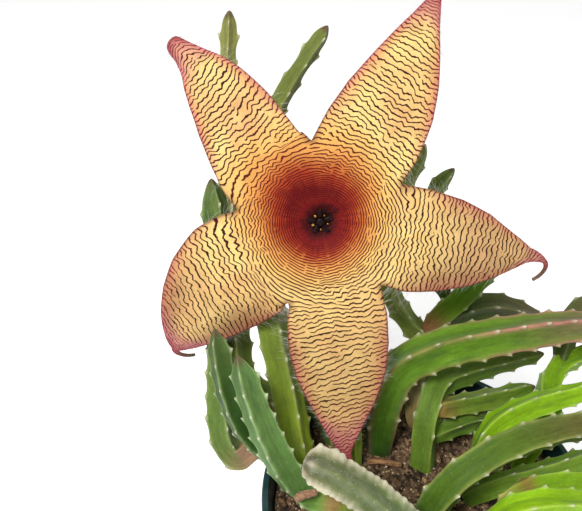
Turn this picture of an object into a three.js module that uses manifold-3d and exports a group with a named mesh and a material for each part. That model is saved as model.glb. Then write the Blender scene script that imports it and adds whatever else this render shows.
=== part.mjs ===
// A giant starfish flower: a clump-forming succulent with one open flower, in a round nursery pot.
// Millimetres, +Z up, +Y away from the side the flower faces. The origin is the middle of the pot's
// underside.

import * as THREE from "three";
import { mergeVertices } from "three/addons/utils/BufferGeometryUtils.js";
import Module from "manifold-3d";

// Driving dimensions
const FIT_GAP = 0.35; // air left between two pieces that touch

const POT = {
  rimRadius: 95,
  height: 165,
  footRadius: 66,
  wall: 2,
  floor: 3,
  lipDepth: 16, // height of the thicker band under the rim
  lipStep: 2.2, // how far that band stands proud of the wall
  drainCount: 8,
  drainRadius: 5,
  drainRing: 50,
  sides: 48,
};
const SOIL_DEPTH_BELOW_RIM = 14;
const SOIL_TOP = POT.height - SOIL_DEPTH_BELOW_RIM;
const ROOT_DEPTH = 12; // how deep each stem stands in its hole in the soil

const SOIL_BITS = { seed: 41, count: 22, least: 2, most: 5 };

// A strip of bark lying on the soil, and a withered shoot lying on the front stem
const BARK_STRIP = { path: [[-31, 28.5, 153], [-20, 28, 154], [-9.5, 26, 153.5]], radius: 1.9 };
const DRY_SHOOT = { path: [[-76, -9, 175.5], [-70, -7, 177.5], [-63, -5, 176.5]], radius: 2.3 };

const FLOWER = {
  centre: [-62.5, 74, 305.5],
  leanBack: 26, // degrees that the face leans back from upright
  holeRadius: 3, // the middle, where the column stands
  notchRadius: 46,
  cupDepth: 9, // how deep the middle sinks
  cupRadius: 34,
  thickness: 2,
  edgeThickness: 1.2,
};

const CROWN = {
  columnRadius: 2.4,
  height: 5,
  reach: 6.8, // from the middle to the end of a tongue
  tongueLength: 5.4,
  tongueWidth: 3,
  tongueHeight: 1.9, // over the middle of the cup
  hornLength: 3.2,
};
const STALK = {
  radius: 3.2,
  calyxRadius: 6,
  sepalLength: 12,
  path: [[-64, 104, 288], [-72, 109, 278], [-84, 104, 272], [-94, 90, 270]],
};

// Places along a lobe, as distances from the flower's middle, where its shape is given. The last
// two are in its tail.
const LOBE_AT = [46, 60, 75, 90, 105, 120, 134, 144, 156];
const FLAT_TO = 42; // the face is flat as far as this, so that neighbouring lobes meet

// One entry a lobe, anticlockwise as seen from the front. axis, toNext and toLast are angles in
// degrees: the lobe's own direction, and those to the notches on either side of it; notch is how far
// the notch towards the next lobe is from the middle. At each place along it, wide is its half-width,
// bend how far it has turned backwards and swing how far it has turned sideways. curl is the arching
// of its edges and roll its twist, all in degrees.
const LOBES = [
  {
    axis: 61, toNext: 35.8, toLast: 33.6, notch: 44, curl: 16, roll: -4,
    wide: [26, 26.2, 24.1, 19.4, 13.8, 8, 3.8, 1.5, 0.8],
    bend: [2, 6, 12, 20, 28, 34, 40, 44, 50],
    swing: [-2, 0, 3, 5, 4, 1.5, -0.5, -1.5, -2],
  },
  {
    axis: 133, toNext: 36.4, toLast: 36.2, notch: 44, curl: 18, roll: 4,
    wide: [25, 23.4, 20.8, 16.4, 10.6, 5.8, 3.2, 1.6, 0.8],
    bend: [1, 4, 8, 14, 22, 36, 105, 180, 220],
    swing: [-11, -13, -10, -4, 3.5, 11, 12, 10, 10],
  },
  {
    axis: 209, toNext: 39.5, toLast: 39.6, notch: 46.5, curl: 16, roll: 0,
    wide: [29.4, 32.2, 30.2, 25.2, 18.2, 10.2, 2.8, 1, 0.8],
    bend: [4, 9, 16, 24, 32, 40, 50, 40, 20],
    swing: [13, 19, 23, 26, 30, 34, 40, 108, 165],
  },
  {
    axis: 281.2, toNext: 33.4, toLast: 32.7, notch: 46.5, curl: 14, roll: 0,
    wide: [26, 27.3, 28, 26, 20.5, 13.5, 7, 2, 0.8],
    bend: [1, 2, 4, 6, 8, 8, 8, 4, 0],
    swing: [-5, -7, -5, -7, -8, -8, -4, 10, 20],
  },
  {
    axis: 350, toNext: 37.4, toLast: 35.4, notch: 46.5, curl: 16, roll: 4,
    wide: [28, 28.4, 26, 20.8, 12.6, 4.4, 1.5, 1, 0.8],
    bend: [2, 5, 9, 14, 20, 26, 34, 34, 30],
    swing: [-2.5, -1.5, -1, 0, 1.5, -2, -28, -90, -135],
  },
];

// Stems. Each entry is one rooted stem with its side shoots, which grow from it. path is the middle
// line, radius the distance from there to a rib at the base, the thickest place and the tip. turn says
// where the four ribs face, in degrees, pitch is the distance from tooth to tooth, and blunt makes a
// rounder tip.
const STEMS = {
  stem_left: [
    {
      path: [
        [-52, 48, 151], [-58, 53, 170], [-80, 61, 179], [-96, 62, 180], [-108, 66, 191],
        [-111, 75, 210], [-112, 88, 236], [-111, 106, 260], [-113, 122, 281], [-114, 138, 310],
        [-115, 152, 335], [-112, 171, 380],
      ],
      radius: [7.5, 8.5, 4.4], turn: 0, pitch: 14,
    },
    {
      path: [
        [-77, 61, 175], [-90, 50, 175], [-98, 34, 171], [-108, 28, 160.5], [-117, 33, 164.5],
        [-121.5, 45, 180], [-121, 66, 211], [-121, 83, 232], [-121, 97, 252], [-122, 109, 273],
        [-124, 121, 302],
      ],
      radius: [6.5, 8.7, 8.2], turn: 20, pitch: 14,
    },
    {
      path: [[-78, 62, 178], [-80, 66, 182], [-82, 68, 189], [-83, 70, 195]],
      radius: [6, 7, 5], turn: 10, pitch: 13,
    },
  ],
  stem_behind_flower: [
    {
      path: [
        [-69, 20, 151], [-74.3, 26, 175], [-79, 40, 200], [-89, 67, 241], [-95, 92, 281],
        [-95, 113, 325], [-82.3, 130, 350], [-58, 152, 379.5],
      ],
      radius: [9, 10, 4.5], turn: 30, pitch: 17,
    },
  ],
  stem_front_left: [
    {
      path: [
        [-44, -2, 151], [-54, -3, 162], [-67, -1, 165], [-81, 4, 184], [-94, 13, 216], [-106, 28, 256],
      ],
      radius: [8, 10, 7.5], turn: 10, pitch: 13,
    },
    {
      path: [[-81, 4, 184], [-95, 16, 189], [-106, 22, 203], [-114, 31, 229], [-119, 46, 257]],
      radius: [6.5, 8, 6.5], turn: 40, pitch: 13,
    },
  ],
  stem_woolly: [
    {
      path: [
        [8, -56, 151], [5, -53, 172], [-13, -42, 194], [-37, -26, 208], [-58, -17, 218], [-72, -13, 222],
      ],
      radius: [9, 10.5, 9.5], turn: 30, pitch: 9, blunt: true,
    },
  ],
  stem_young: [
    {
      path: [[-38, 27, 151], [-39, 31, 163], [-40, 37, 176], [-42, 44, 192], [-44, 51, 206]],
      radius: [4.5, 5, 4], turn: 0, pitch: 14,
    },
  ],
  stem_arching: [
    {
      path: [
        [-22, 43, 151], [-21, 50, 179], [-12, 59, 205], [10, 64, 218], [35, 68, 222], [66, 74, 223],
        [99, 80, 221], [130, 86, 212], [156, 92, 202],
      ],
      radius: [11, 12.5, 8], turn: 45, pitch: 16,
    },
  ],
  stem_forked: [
    {
      path: [
        [4, 31, 151], [3.5, 34, 165], [5, 42, 181], [14, 60, 189], [32, 71, 187], [60, 78, 189],
        [84, 82, 193],
      ],
      radius: [11, 9.5, 4.5], turn: 20, pitch: 15,
    },
    {
      path: [
        [-1, 42, 168], [0, 53, 176], [7, 71, 180], [8, 92, 194], [-0.5, 101, 200], [-11, 110, 213],
        [-16, 119, 229], [-16, 127, 247], [-10, 138, 273], [4, 154, 304],
      ],
      radius: [7, 7.2, 5.5], turn: 0, pitch: 14,
    },
    {
      path: [[8, 92, 194], [15, 100, 203], [29, 104, 219], [42, 106, 238], [52, 108, 248]],
      radius: [7, 10, 7], turn: 30, pitch: 14,
    },
    {
      path: [
        [24, 103, 213], [20, 112, 220], [16, 119, 226], [10, 128, 238], [11, 139, 257], [13, 147, 273],
        [24.5, 154, 286],
      ],
      radius: [4.5, 6, 5.5], turn: 0, pitch: 14,
    },
    {
      path: [
        [17, 100, 201], [34, 105, 207], [51, 108, 209], [68, 110, 203], [82, 111, 196], [92, 112, 189],
      ],
      radius: [6, 9, 6], turn: 0, pitch: 15,
    },
    {
      path: [[6, 41, 185], [13, 46, 184], [33, 53, 180], [58, 60, 179], [76, 64, 183]],
      radius: [7.2, 7.4, 6], turn: 20, pitch: 15,
    },
    {
      path: [[6, 36, 166], [20, 41, 170], [35, 46, 171], [50, 50, 167]],
      radius: [5.5, 6.5, 4], turn: 0, pitch: 13,
    },
  ],
  stem_right_back: [
    {
      path: [
        [64, 28, 151], [69, 33, 168], [79, 46, 178], [85, 66, 181], [95.5, 80, 182], [110, 88, 183],
        [124, 92, 186], [142, 95, 187],
      ],
      radius: [7.5, 9, 6], turn: 20, pitch: 15,
    },
    {
      path: [
        [95.5, 80, 182], [100, 92, 189], [105, 103, 199], [115, 111, 205], [128, 117, 207],
        [140, 119, 208],
      ],
      radius: [6.5, 8, 5.5], turn: 0, pitch: 15,
    },
  ],
  stem_right_bright: [
    {
      path: [
        [36, 24, 151], [36, 25, 175], [41, 29, 190], [51, 34, 194], [65, 40, 195], [83, 46, 195],
        [101, 50, 197], [125, 54, 199], [142, 57, 197],
      ],
      radius: [7, 8, 5.5], turn: 35, pitch: 16,
    },
  ],
  stem_right_broad: [
    {
      path: [
        [-4, -20, 151], [-4, -20, 170], [2, -15, 189], [12, -10, 203], [27, -4, 212], [44, 3, 215],
        [65, 10, 214], [86, 16, 210], [110, 20, 205], [132, 24, 198],
      ],
      radius: [10, 10.5, 7.5], turn: 0, pitch: 18,
    },
  ],
  stem_right_shaded: [
    {
      path: [
        [30, 6, 151], [36, 4, 163], [44, 3, 172], [58, 4, 178], [74, 6, 183], [91, 10, 187],
        [110, 14, 187], [128, 18, 185],
      ],
      radius: [6.5, 7.5, 5], turn: 0, pitch: 15,
    },
  ],
  stem_right_low: [
    {
      path: [
        [40, -16, 151], [41, -15, 172], [45, -12, 186], [56, -10, 193], [73, -8, 193], [91, -6, 189],
        [110, -4, 184], [126, -2, 178],
      ],
      radius: [6.5, 7.5, 5], turn: 0, pitch: 15,
    },
  ],
  stem_right_front: [
    {
      path: [
        [30, -36, 151], [28, -34, 177], [31, -31, 194], [40, -29, 202], [54, -28, 205], [77, -25, 199],
        [95, -23, 194], [115, -21, 188], [130, -19, 182],
      ],
      radius: [7.5, 8.5, 6], turn: 45, pitch: 15,
    },
  ],
};

const VALLEY_SHARE = 0.6; // distance to the hollow between two ribs, as a share of the distance to a rib
const TOOTH_HEIGHT = 1.7;
const BARE_FOOT = 20; // length above the root with no teeth
const TIP_LENGTH = 2.4; // length of a tip, in tip radii
const BLUNT_TIP_LENGTH = 1;
const JOINT_LENGTH = 10; // length over which a stem swells from its joint or root

const wasm = await Module();
wasm.setup();

// Joins shared vertices and makes a solid of a closed geometry.
function solidOf(geometry) {
  const bare = geometry.clone();
  bare.deleteAttribute("normal");
  bare.deleteAttribute("uv");
  const merged = mergeVertices(bare, 1e-4);
  return new wasm.Manifold(
    new wasm.Mesh({
      numProp: 3,
      vertProperties: new Float32Array(merged.attributes.position.array),
      triVerts: new Uint32Array(merged.index.array),
    }),
  );
}

function geometryOf(solid) {
  const mesh = solid.getMesh();
  const positions = new Float32Array(mesh.numVert * 3);
  for (let i = 0; i < mesh.numVert; i++)
    positions.set(
      mesh.vertProperties.subarray(i * mesh.numProp, i * mesh.numProp + 3),
      i * 3,
    );
  const geometry = new THREE.BufferGeometry();
  geometry.setAttribute("position", new THREE.BufferAttribute(positions, 3));
  geometry.setIndex(new THREE.BufferAttribute(mesh.triVerts, 1));
  geometry.computeVertexNormals();
  return geometry;
}

// Closed surface through rings of equally many points, with a point at each end.
function skin(rings, start, end) {
  const count = rings[0].length;
  const points = [...rings.flat(), start, end];
  const faces = [];
  for (let i = 0; i + 1 < rings.length; i++)
    for (let j = 0; j < count; j++) {
      const a = i * count + j;
      const b = i * count + ((j + 1) % count);
      faces.push(a, b, b + count, a, b + count, a + count);
    }
  const first = points.length - 2;
  const last = points.length - 1;
  const top = (rings.length - 1) * count;
  for (let j = 0; j < count; j++) {
    const next = (j + 1) % count;
    faces.push(first, next, j, last, top + j, top + next);
  }
  const geometry = new THREE.BufferGeometry().setFromPoints(points);
  geometry.setIndex(faces);
  return geometry;
}

// Value at x of the broken line through pairs [x, y].
function along(pairs, x) {
  if (x <= pairs[0][0]) return pairs[0][1];
  for (let i = 1; i < pairs.length; i++) {
    const [x1, y1] = pairs[i];
    const [x0, y0] = pairs[i - 1];
    if (x <= x1) return y0 + ((x - x0) / (x1 - x0)) * (y1 - y0);
  }
  return pairs[pairs.length - 1][1];
}

const smooth = (x) => {
  const t = THREE.MathUtils.clamp(x, 0, 1);
  return t * t * (3 - 2 * t);
};

// Even steps along a path, each with its place, direction and a sideways direction that never twists.
function stations(path, step) {
  const curve = new THREE.CatmullRomCurve3(
    path.map((p) => new THREE.Vector3(...p)),
    false,
    "catmullrom",
    0.5,
  );
  const length = curve.getLength();
  const count = Math.max(4, Math.round(length / step));
  const side = new THREE.Vector3(1, 0, 0);
  const made = [];
  for (let i = 0; i <= count; i++) {
    const place = curve.getPointAt(i / count);
    const direction = curve.getTangentAt(i / count);
    side.addScaledVector(direction, -side.dot(direction)).normalize();
    made.push({ place, direction, side: side.clone(), s: (i / count) * length });
  }
  return { made, length };
}

// Distance to a rib at a place s along a stem, with the swelling above the joint and the rounded tip.
function ribRadius(radius, s, length, tipLength) {
  const [base, middle, tip] = radius;
  const share = s / length;
  const swollen = base + (middle - base) * smooth(s / JOINT_LENGTH / 3);
  const body = swollen + (tip - middle) * smooth((share - 0.45) / 0.55);
  const left = (length - s) / (tipLength * tip);
  return body * (left >= 1 ? 1 : Math.sqrt(Math.max(0, 1 - (1 - left) ** 2)));
}

// A four-ribbed toothed stem. Teeth on opposite ribs stand level, and those between them half a pitch
// further on.
function shoot({ path, radius, turn, pitch, blunt }, rooted, grow = 0) {
  const root = [path[0][0], path[0][1], path[0][2] - ROOT_DEPTH];
  const { made, length } = stations(rooted ? [root, ...path] : path, pitch / 2);
  const bare = rooted ? ROOT_DEPTH + BARE_FOOT : JOINT_LENGTH;
  const rings = [];
  made.slice(0, -1).forEach(({ place, direction, side, s }, i) => {
    const across = new THREE.Vector3().crossVectors(direction, side);
    const rib = ribRadius(radius, s, length, blunt ? BLUNT_TIP_LENGTH : TIP_LENGTH);
    const toothed = s > bare && length - s > radius[2];
    const ring = [];
    for (let corner = 0; corner < 8; corner++) {
      const isRib = corner % 2 === 0;
      const hasTooth = isRib && toothed && (i + corner / 2) % 2 === 0;
      const out =
        (isRib ? rib : rib * VALLEY_SHARE) + (hasTooth ? TOOTH_HEIGHT : 0) + grow;
      const angle = THREE.MathUtils.degToRad(turn + corner * 45);
      ring.push(
        place
          .clone()
          .addScaledVector(side, out * Math.cos(angle))
          .addScaledVector(across, out * Math.sin(angle)),
      );
    }
    rings.push(ring);
  });
  const first = made[0];
  const start = first.place.clone().addScaledVector(first.direction, -grow);
  return solidOf(skin(rings, start, made[made.length - 1].place));
}

function stemSolid(shoots) {
  return wasm.Manifold.union(shoots.map((s, i) => shoot(s, i === 0)));
}

// What is cut from the soil for a stem: the same foot, a little larger.
function rootHole(shoots) {
  return shoot({ ...shoots[0] }, true, FIT_GAP);
}

function latheSolid(profile, sides) {
  const points = profile.map(([r, z]) => new THREE.Vector2(r, z));
  return solidOf(
    new THREE.LatheGeometry(points, sides).rotateX(Math.PI / 2),
  );
}

// Radius of the pot's outer wall, under the lip, at a height.
const wallRadius = (z) =>
  POT.footRadius +
  ((POT.rimRadius - POT.lipStep - POT.footRadius) * z) / POT.height;

function potSolid() {
  const lipFoot = POT.height - POT.lipDepth;
  const inner = (z) => wallRadius(z) - POT.wall;
  const profile = [
    [0, 0],
    [POT.footRadius - 2, 0],
    [wallRadius(2), 2],
    [wallRadius(lipFoot), lipFoot],
    [POT.rimRadius - 0.8, lipFoot + 1.5],
    [POT.rimRadius, POT.height - 1],
    [POT.rimRadius - 0.6, POT.height],
    [inner(POT.height) + 0.4, POT.height],
    [inner(POT.height), POT.height - 1],
    [inner(POT.floor + 2), POT.floor + 2],
    [inner(POT.floor) - 2, POT.floor],
    [0, POT.floor],
  ];
  let pot = latheSolid(profile, POT.sides);
  for (let i = 0; i < POT.drainCount; i++) {
    const angle = ((i + 0.5) / POT.drainCount) * 2 * Math.PI;
    const drill = new THREE.CylinderGeometry(
      POT.drainRadius,
      POT.drainRadius,
      POT.floor * 4,
      12,
    );
    drill.rotateX(Math.PI / 2);
    drill.translate(
      POT.drainRing * Math.cos(angle),
      POT.drainRing * Math.sin(angle),
      0,
    );
    pot = pot.subtract(solidOf(drill));
  }
  return pot;
}

// The biggest body of a solid that fell apart.
function largest(solid) {
  return solid
    .decompose()
    .reduce((a, b) => (b.volume() > a.volume() ? b : a));
}

// Height of the soil's lumps over its mean level.
function lump(x, y) {
  return (
    1.3 * Math.sin(x * 0.16 + 1.2) * Math.cos(y * 0.19 - 0.4) +
    0.8 * Math.sin(x * 0.37 - y * 0.29 + 2) +
    0.6 * Math.cos(x * 0.23 + y * 0.45)
  );
}

// A repeatable run of numbers between 0 and 1.
function seeded(seed) {
  let state = seed;
  return () => {
    state = (state * 16807) % 2147483647;
    return state / 2147483647;
  };
}

// Bits of bark and pumice that stick out of the soil.
function soilBits(reach) {
  const random = seeded(SOIL_BITS.seed);
  const bits = [];
  for (let i = 0; i < SOIL_BITS.count; i++) {
    const ring = reach * Math.sqrt((i + random()) / SOIL_BITS.count);
    const angle = i * 2.4 + random() * 0.6;
    const size = THREE.MathUtils.lerp(SOIL_BITS.least, SOIL_BITS.most, random() ** 2);
    const bit = new THREE.IcosahedronGeometry(size, 0);
    bit.scale(1 + random(), 0.6 + 0.5 * random(), 0.45 + 0.3 * random());
    bit.rotateY((random() - 0.5) * 0.7);
    bit.rotateZ(random() * Math.PI);
    const x = ring * Math.cos(angle);
    const y = ring * Math.sin(angle);
    bit.translate(x, y, SOIL_TOP + lump(x, y) + 0.1 * size);
    bits.push(solidOf(bit));
  }
  return wasm.Manifold.union(bits);
}

function soilSolid(holes) {
  const rimOfSoil = wallRadius(SOIL_TOP) - POT.wall - FIT_GAP - 0.4;
  const floorZ = POT.floor + FIT_GAP;
  const floorRadius = wallRadius(floorZ) - POT.wall - FIT_GAP - 2.4;
  const sides = 32;
  const rows = 7;
  const ringAt = (radius, height) =>
    Array.from({ length: sides }, (_, j) => {
      const angle = (j / sides) * 2 * Math.PI;
      const x = radius * Math.cos(angle);
      const y = radius * Math.sin(angle);
      return new THREE.Vector3(x, y, height(x, y));
    });
  const rings = [
    ringAt(floorRadius, () => floorZ),
    ringAt(rimOfSoil, () => SOIL_TOP - 3),
  ];
  for (let i = 0; i < rows; i++)
    rings.push(
      ringAt(rimOfSoil * (1 - i / rows) - 0.5, (x, y) => SOIL_TOP + lump(x, y)),
    );
  const body = solidOf(
    skin(
      rings,
      new THREE.Vector3(0, 0, floorZ),
      new THREE.Vector3(0, 0, SOIL_TOP + lump(0, 0)),
    ),
  ).add(soilBits(rimOfSoil - 8));
  return largest(holes.reduce((soil, hole) => soil.subtract(hole), body));
}

// A plain rod along a path, with rounded ends. grow makes it larger all round.
function rod(path, radius, sides, grow = 0) {
  const { made, length } = stations(path, radius * 1.6);
  const end = Math.min(radius, length / 3);
  const rings = made.slice(1, -1).map(({ place, direction, side, s }) => {
    const across = new THREE.Vector3().crossVectors(direction, side);
    const close = Math.min(1, Math.min(s, length - s) / end);
    const out = radius * Math.sqrt(1 - (1 - close) ** 2) + grow;
    return Array.from({ length: sides }, (_, j) => {
      const angle = (j / sides) * 2 * Math.PI;
      return place
        .clone()
        .addScaledVector(side, out * Math.cos(angle))
        .addScaledVector(across, out * Math.sin(angle));
    });
  });
  const first = made[0];
  const last = made[made.length - 1];
  return solidOf(
    skin(
      rings,
      first.place.clone().addScaledVector(first.direction, -grow),
      last.place.clone().addScaledVector(last.direction, grow),
    ),
  );
}

// Turns a point of the flower's own frame (x right, y up its face, z out of its face) into the part's.
const flowerMatrix = new THREE.Matrix4()
  .makeTranslation(...FLOWER.centre)
  .multiply(
    new THREE.Matrix4().makeRotationX(
      THREE.MathUtils.degToRad(90 - FLOWER.leanBack),
    ),
  );

// The value given at a place s along a lobe, growing from the first one that holds as far as FLAT_TO.
const given = (values, s, first) =>
  along([[FLAT_TO, first], ...LOBE_AT.map((at, i) => [at, values[i]])], s);

// The middle line of a lobe: its place and direction at every millimetre, from its bend and swing there.
function lobeLine(lobe) {
  const line = [];
  let place = new THREE.Vector3(0, 0, 0);
  for (let s = 0; s <= LOBE_AT[LOBE_AT.length - 1] + 1; s += 1) {
    const bend = THREE.MathUtils.degToRad(given(lobe.bend, s, 0));
    const swing = THREE.MathUtils.degToRad(given(lobe.swing, s, 0));
    const forward = new THREE.Vector3(
      Math.cos(bend) * Math.cos(swing),
      Math.cos(bend) * Math.sin(swing),
      -Math.sin(bend),
    );
    line.push({ place: place.clone(), forward, swing });
    place = place.clone().add(forward);
  }
  return (s) => {
    const i = Math.floor(Math.min(Math.max(s, 0), line.length - 1.001));
    const share = s - i;
    return {
      place: line[i].place.clone().lerp(line[i + 1].place, share),
      forward: line[i].forward.clone().lerp(line[i + 1].forward, share).normalize(),
      swing: THREE.MathUtils.lerp(line[i].swing, line[i + 1].swing, share),
    };
  };
}

// Depth of the face at a distance r from the flower's middle.
const cup = (r) => -FLOWER.cupDepth * (1 - smooth(r / FLOWER.cupRadius));

// A point of a lobe's face: reach is the distance along its axis, w runs from -1 to 1 across it.
function lobePoint(index, lineAt, reach, w, depth) {
  const lobe = LOBES[index];
  const last = LOBES[(index + LOBES.length - 1) % LOBES.length];
  const half = THREE.MathUtils.degToRad(w > 0 ? lobe.toNext : lobe.toLast);
  const notch = w > 0 ? lobe.notch : last.notch;
  const past = reach - FLOWER.notchRadius;
  const stretch = (notch / FLOWER.notchRadius - 1) * Math.abs(w);
  const t = reach * (1 + stretch * (1 - smooth(past / 40)));
  const open = half * (1 - 0.9 * smooth(past / 45));
  const wide =
    past <= 0
      ? t * Math.sin(half)
      : THREE.MathUtils.lerp(
          notch * Math.sin(half),
          given(lobe.wide, t, 0),
          smooth(past / 14),
        );
  const across = (Math.sign(w) * wide * Math.sin(Math.abs(w) * open)) / Math.sin(open);
  const back = (wide * (1 - Math.cos(w * open))) / Math.sin(open);
  const s = t - back;
  const { place, forward, swing } = lineAt(s);
  const side = new THREE.Vector3(-Math.sin(swing), Math.cos(swing), 0);
  side.applyAxisAngle(
    forward,
    THREE.MathUtils.degToRad(lobe.roll) * smooth((s - FLOWER.notchRadius) / 80),
  );
  const out = new THREE.Vector3().crossVectors(forward, side);
  const arch =
    (THREE.MathUtils.degToRad(lobe.curl) / 20) * smooth((s - FLAT_TO) / 50);
  const turnBy = arch * across;
  const flat = Math.abs(turnBy) < 1e-6;
  const point = place
    .addScaledVector(side, flat ? across : Math.sin(turnBy) / arch)
    .addScaledVector(out, flat ? 0 : -(1 - Math.cos(turnBy)) / arch);
  point.z += cup(Math.hypot(s, across));
  return point
    .addScaledVector(out, -depth)
    .applyAxisAngle(new THREE.Vector3(0, 0, 1), THREE.MathUtils.degToRad(lobe.axis));
}

function corollaSolid() {
  const inside = [];
  for (let t = FLOWER.holeRadius; t < FLOWER.notchRadius - 1; t += 7) inside.push(t);
  const outside = [46, 54, 62, 71, 80, 89, 97, 105, 112, 119, 125, 131, 137, 143, 149, 155];
  const ts = [...inside, ...outside];
  const columns = 8;
  const points = [];
  const faces = [];
  const indexOf = new Map();
  const add = (p) => {
    const key = p.toArray().map((v) => v.toFixed(3)).join();
    if (!indexOf.has(key)) {
      indexOf.set(key, points.length);
      points.push(p);
    }
    return indexOf.get(key);
  };
  const quad = (a, b, c, d) => {
    if (a !== b && b !== c && a !== c) faces.push(a, b, c);
    if (a !== c && c !== d && a !== d) faces.push(a, c, d);
  };
  LOBES.forEach((lobe, index) => {
    const lineAt = lobeLine(lobe);
    const grid = (deep) =>
      ts.map((t) =>
        Array.from({ length: columns + 1 }, (_, j) => {
          const w = -1 + (2 * j) / columns;
          const edge = smooth((Math.abs(w) - 0.5) / 0.5) * smooth((t - 40) / 20);
          const thick =
            FLOWER.thickness + (FLOWER.edgeThickness - FLOWER.thickness) * edge;
          return add(lobePoint(index, lineAt, t, w, deep ? thick : 0));
        }),
      );
    const face = grid(false);
    const back = grid(true);
    const last = ts.length - 1;
    for (let i = 0; i < last; i++) {
      for (let j = 0; j < columns; j++) {
        quad(face[i][j], face[i + 1][j], face[i + 1][j + 1], face[i][j + 1]);
        quad(back[i][j], back[i][j + 1], back[i + 1][j + 1], back[i + 1][j]);
      }
      if (ts[i] >= FLOWER.notchRadius) {
        quad(face[i][0], back[i][0], back[i + 1][0], face[i + 1][0]);
        quad(face[i][columns], face[i + 1][columns], back[i + 1][columns], back[i][columns]);
      }
    }
    for (let j = 0; j < columns; j++) {
      quad(face[0][j], face[0][j + 1], back[0][j + 1], back[0][j]);
      quad(face[last][j], back[last][j], back[last][j + 1], face[last][j + 1]);
    }
  });
  const geometry = new THREE.BufferGeometry().setFromPoints(points);
  geometry.setIndex(faces);
  geometry.applyMatrix4(flowerMatrix);
  return solidOf(geometry);
}

// The dark crown in the middle: a column standing in the corolla's hole, with five flat tongues and
// five upright horns.
function coronaSolid() {
  const foot = -FLOWER.cupDepth - FLOWER.thickness;
  const top = foot + CROWN.height;
  const column = new THREE.CylinderGeometry(
    CROWN.columnRadius * 0.9,
    CROWN.columnRadius,
    CROWN.height,
    15,
  );
  column.rotateX(Math.PI / 2);
  column.translate(0, 0, (foot + top) / 2);
  const pieces = [solidOf(column)];
  for (let i = 0; i < 5; i++) {
    const angle = THREE.MathUtils.degToRad(23 + 72 * i);
    const tongue = new THREE.SphereGeometry(1, 8, 5);
    tongue.scale(CROWN.tongueLength / 2, CROWN.tongueWidth / 2, 0.8);
    tongue.rotateY(-0.06);
    tongue.translate(CROWN.reach - CROWN.tongueLength / 2, 0, CROWN.tongueHeight - FLOWER.cupDepth);
    tongue.rotateZ(angle);
    pieces.push(solidOf(tongue));
    const horn = new THREE.CylinderGeometry(0.5, 1.3, CROWN.hornLength, 6);
    horn.rotateX(Math.PI / 2);
    horn.rotateY(0.7);
    horn.translate(CROWN.columnRadius + 0.6, 0, top);
    horn.rotateZ(angle);
    pieces.push(solidOf(horn));
  }
  return wasm.Manifold.union(pieces).transform(flowerMatrix.elements);
}

// The calyx behind the flower and the curved stalk that holds it to its stem.
function stalkSolid(parent) {
  const top = -FLOWER.cupDepth - FLOWER.thickness - FIT_GAP;
  const profile = [
    [0, top],
    [STALK.calyxRadius, top],
    [STALK.calyxRadius + 0.4, top - 1],
    [STALK.radius + 1, top - 7],
    [STALK.radius, top - 11],
    [0, top - 11],
  ].reverse();
  const pieces = [latheSolid(profile, 15)];
  for (let i = 0; i < 5; i++) {
    const sepal = new THREE.SphereGeometry(1, 8, 5);
    sepal.scale(STALK.sepalLength / 2, 2.3, 0.8);
    sepal.rotateY(0.12);
    sepal.translate(STALK.calyxRadius + 2.5, 0, top - 3.2);
    sepal.rotateZ(THREE.MathUtils.degToRad(23 + 72 * i));
    pieces.push(solidOf(sepal));
  }
  const calyx = wasm.Manifold.union(pieces).transform(flowerMatrix.elements);
  const start = new THREE.Vector3(0, 0, top - 6).applyMatrix4(flowerMatrix);
  const stalk = rod([start.toArray(), ...STALK.path], STALK.radius, 10);
  return calyx.add(stalk).subtract(parent);
}

const colour = {
  pot: new THREE.MeshStandardMaterial({ color: 0x17363a, roughness: 0.45, metalness: 0 }),
  soil: new THREE.MeshStandardMaterial({ color: 0x3a2a20, roughness: 0.95, metalness: 0 }),
  bark: new THREE.MeshStandardMaterial({ color: 0x7a5338, roughness: 0.9, metalness: 0 }),
  stem: new THREE.MeshStandardMaterial({ color: 0x5a8a2c, roughness: 0.7, metalness: 0 }),
  wool: new THREE.MeshStandardMaterial({ color: 0xa3ad84, roughness: 0.9, metalness: 0 }),
  dry: new THREE.MeshStandardMaterial({ color: 0xa9705a, roughness: 0.9, metalness: 0 }),
  corolla: new THREE.MeshStandardMaterial({ color: 0xe3b765, roughness: 0.6, metalness: 0 }),
  crown: new THREE.MeshStandardMaterial({ color: 0x2a0d10, roughness: 0.4, metalness: 0 }),
};

const part = new THREE.Group();
function place(name, solid, material) {
  const mesh = new THREE.Mesh(geometryOf(solid), material);
  mesh.name = name;
  part.add(mesh);
}

const stemNodes = Object.entries(STEMS);
const { path: strip, radius: stripRadius } = BARK_STRIP;
const { path: dry, radius: dryRadius } = DRY_SHOOT;
const holes = stemNodes.map(([, shoots]) => rootHole(shoots));
holes.push(rod(strip, stripRadius, 8, FIT_GAP));

place("pot", potSolid(), colour.pot);
place("soil", soilSolid(holes), colour.soil);
place("bark_strip", rod(strip, stripRadius, 8), colour.bark);
stemNodes.forEach(([name, shoots]) =>
  place(name, stemSolid(shoots), name === "stem_woolly" ? colour.wool : colour.stem),
);
const underDry = shoot(STEMS.stem_front_left[0], true, FIT_GAP);
place("dry_shoot", rod(dry, dryRadius, 8).subtract(underDry), colour.dry);
place("corolla", corollaSolid(), colour.corolla);
place("corona", coronaSolid(), colour.crown);
const underStalk = shoot(STEMS.stem_behind_flower[0], true, FIT_GAP);
place("flower_stalk", stalkSolid(underStalk), colour.stem);

export default part;
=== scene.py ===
# The looks of a potted giant starfish flower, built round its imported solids.
# Lengths are in millimetres here and become metres when a mesh is made. +Z is up and the flower
# faces -Y.

import math

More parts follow.
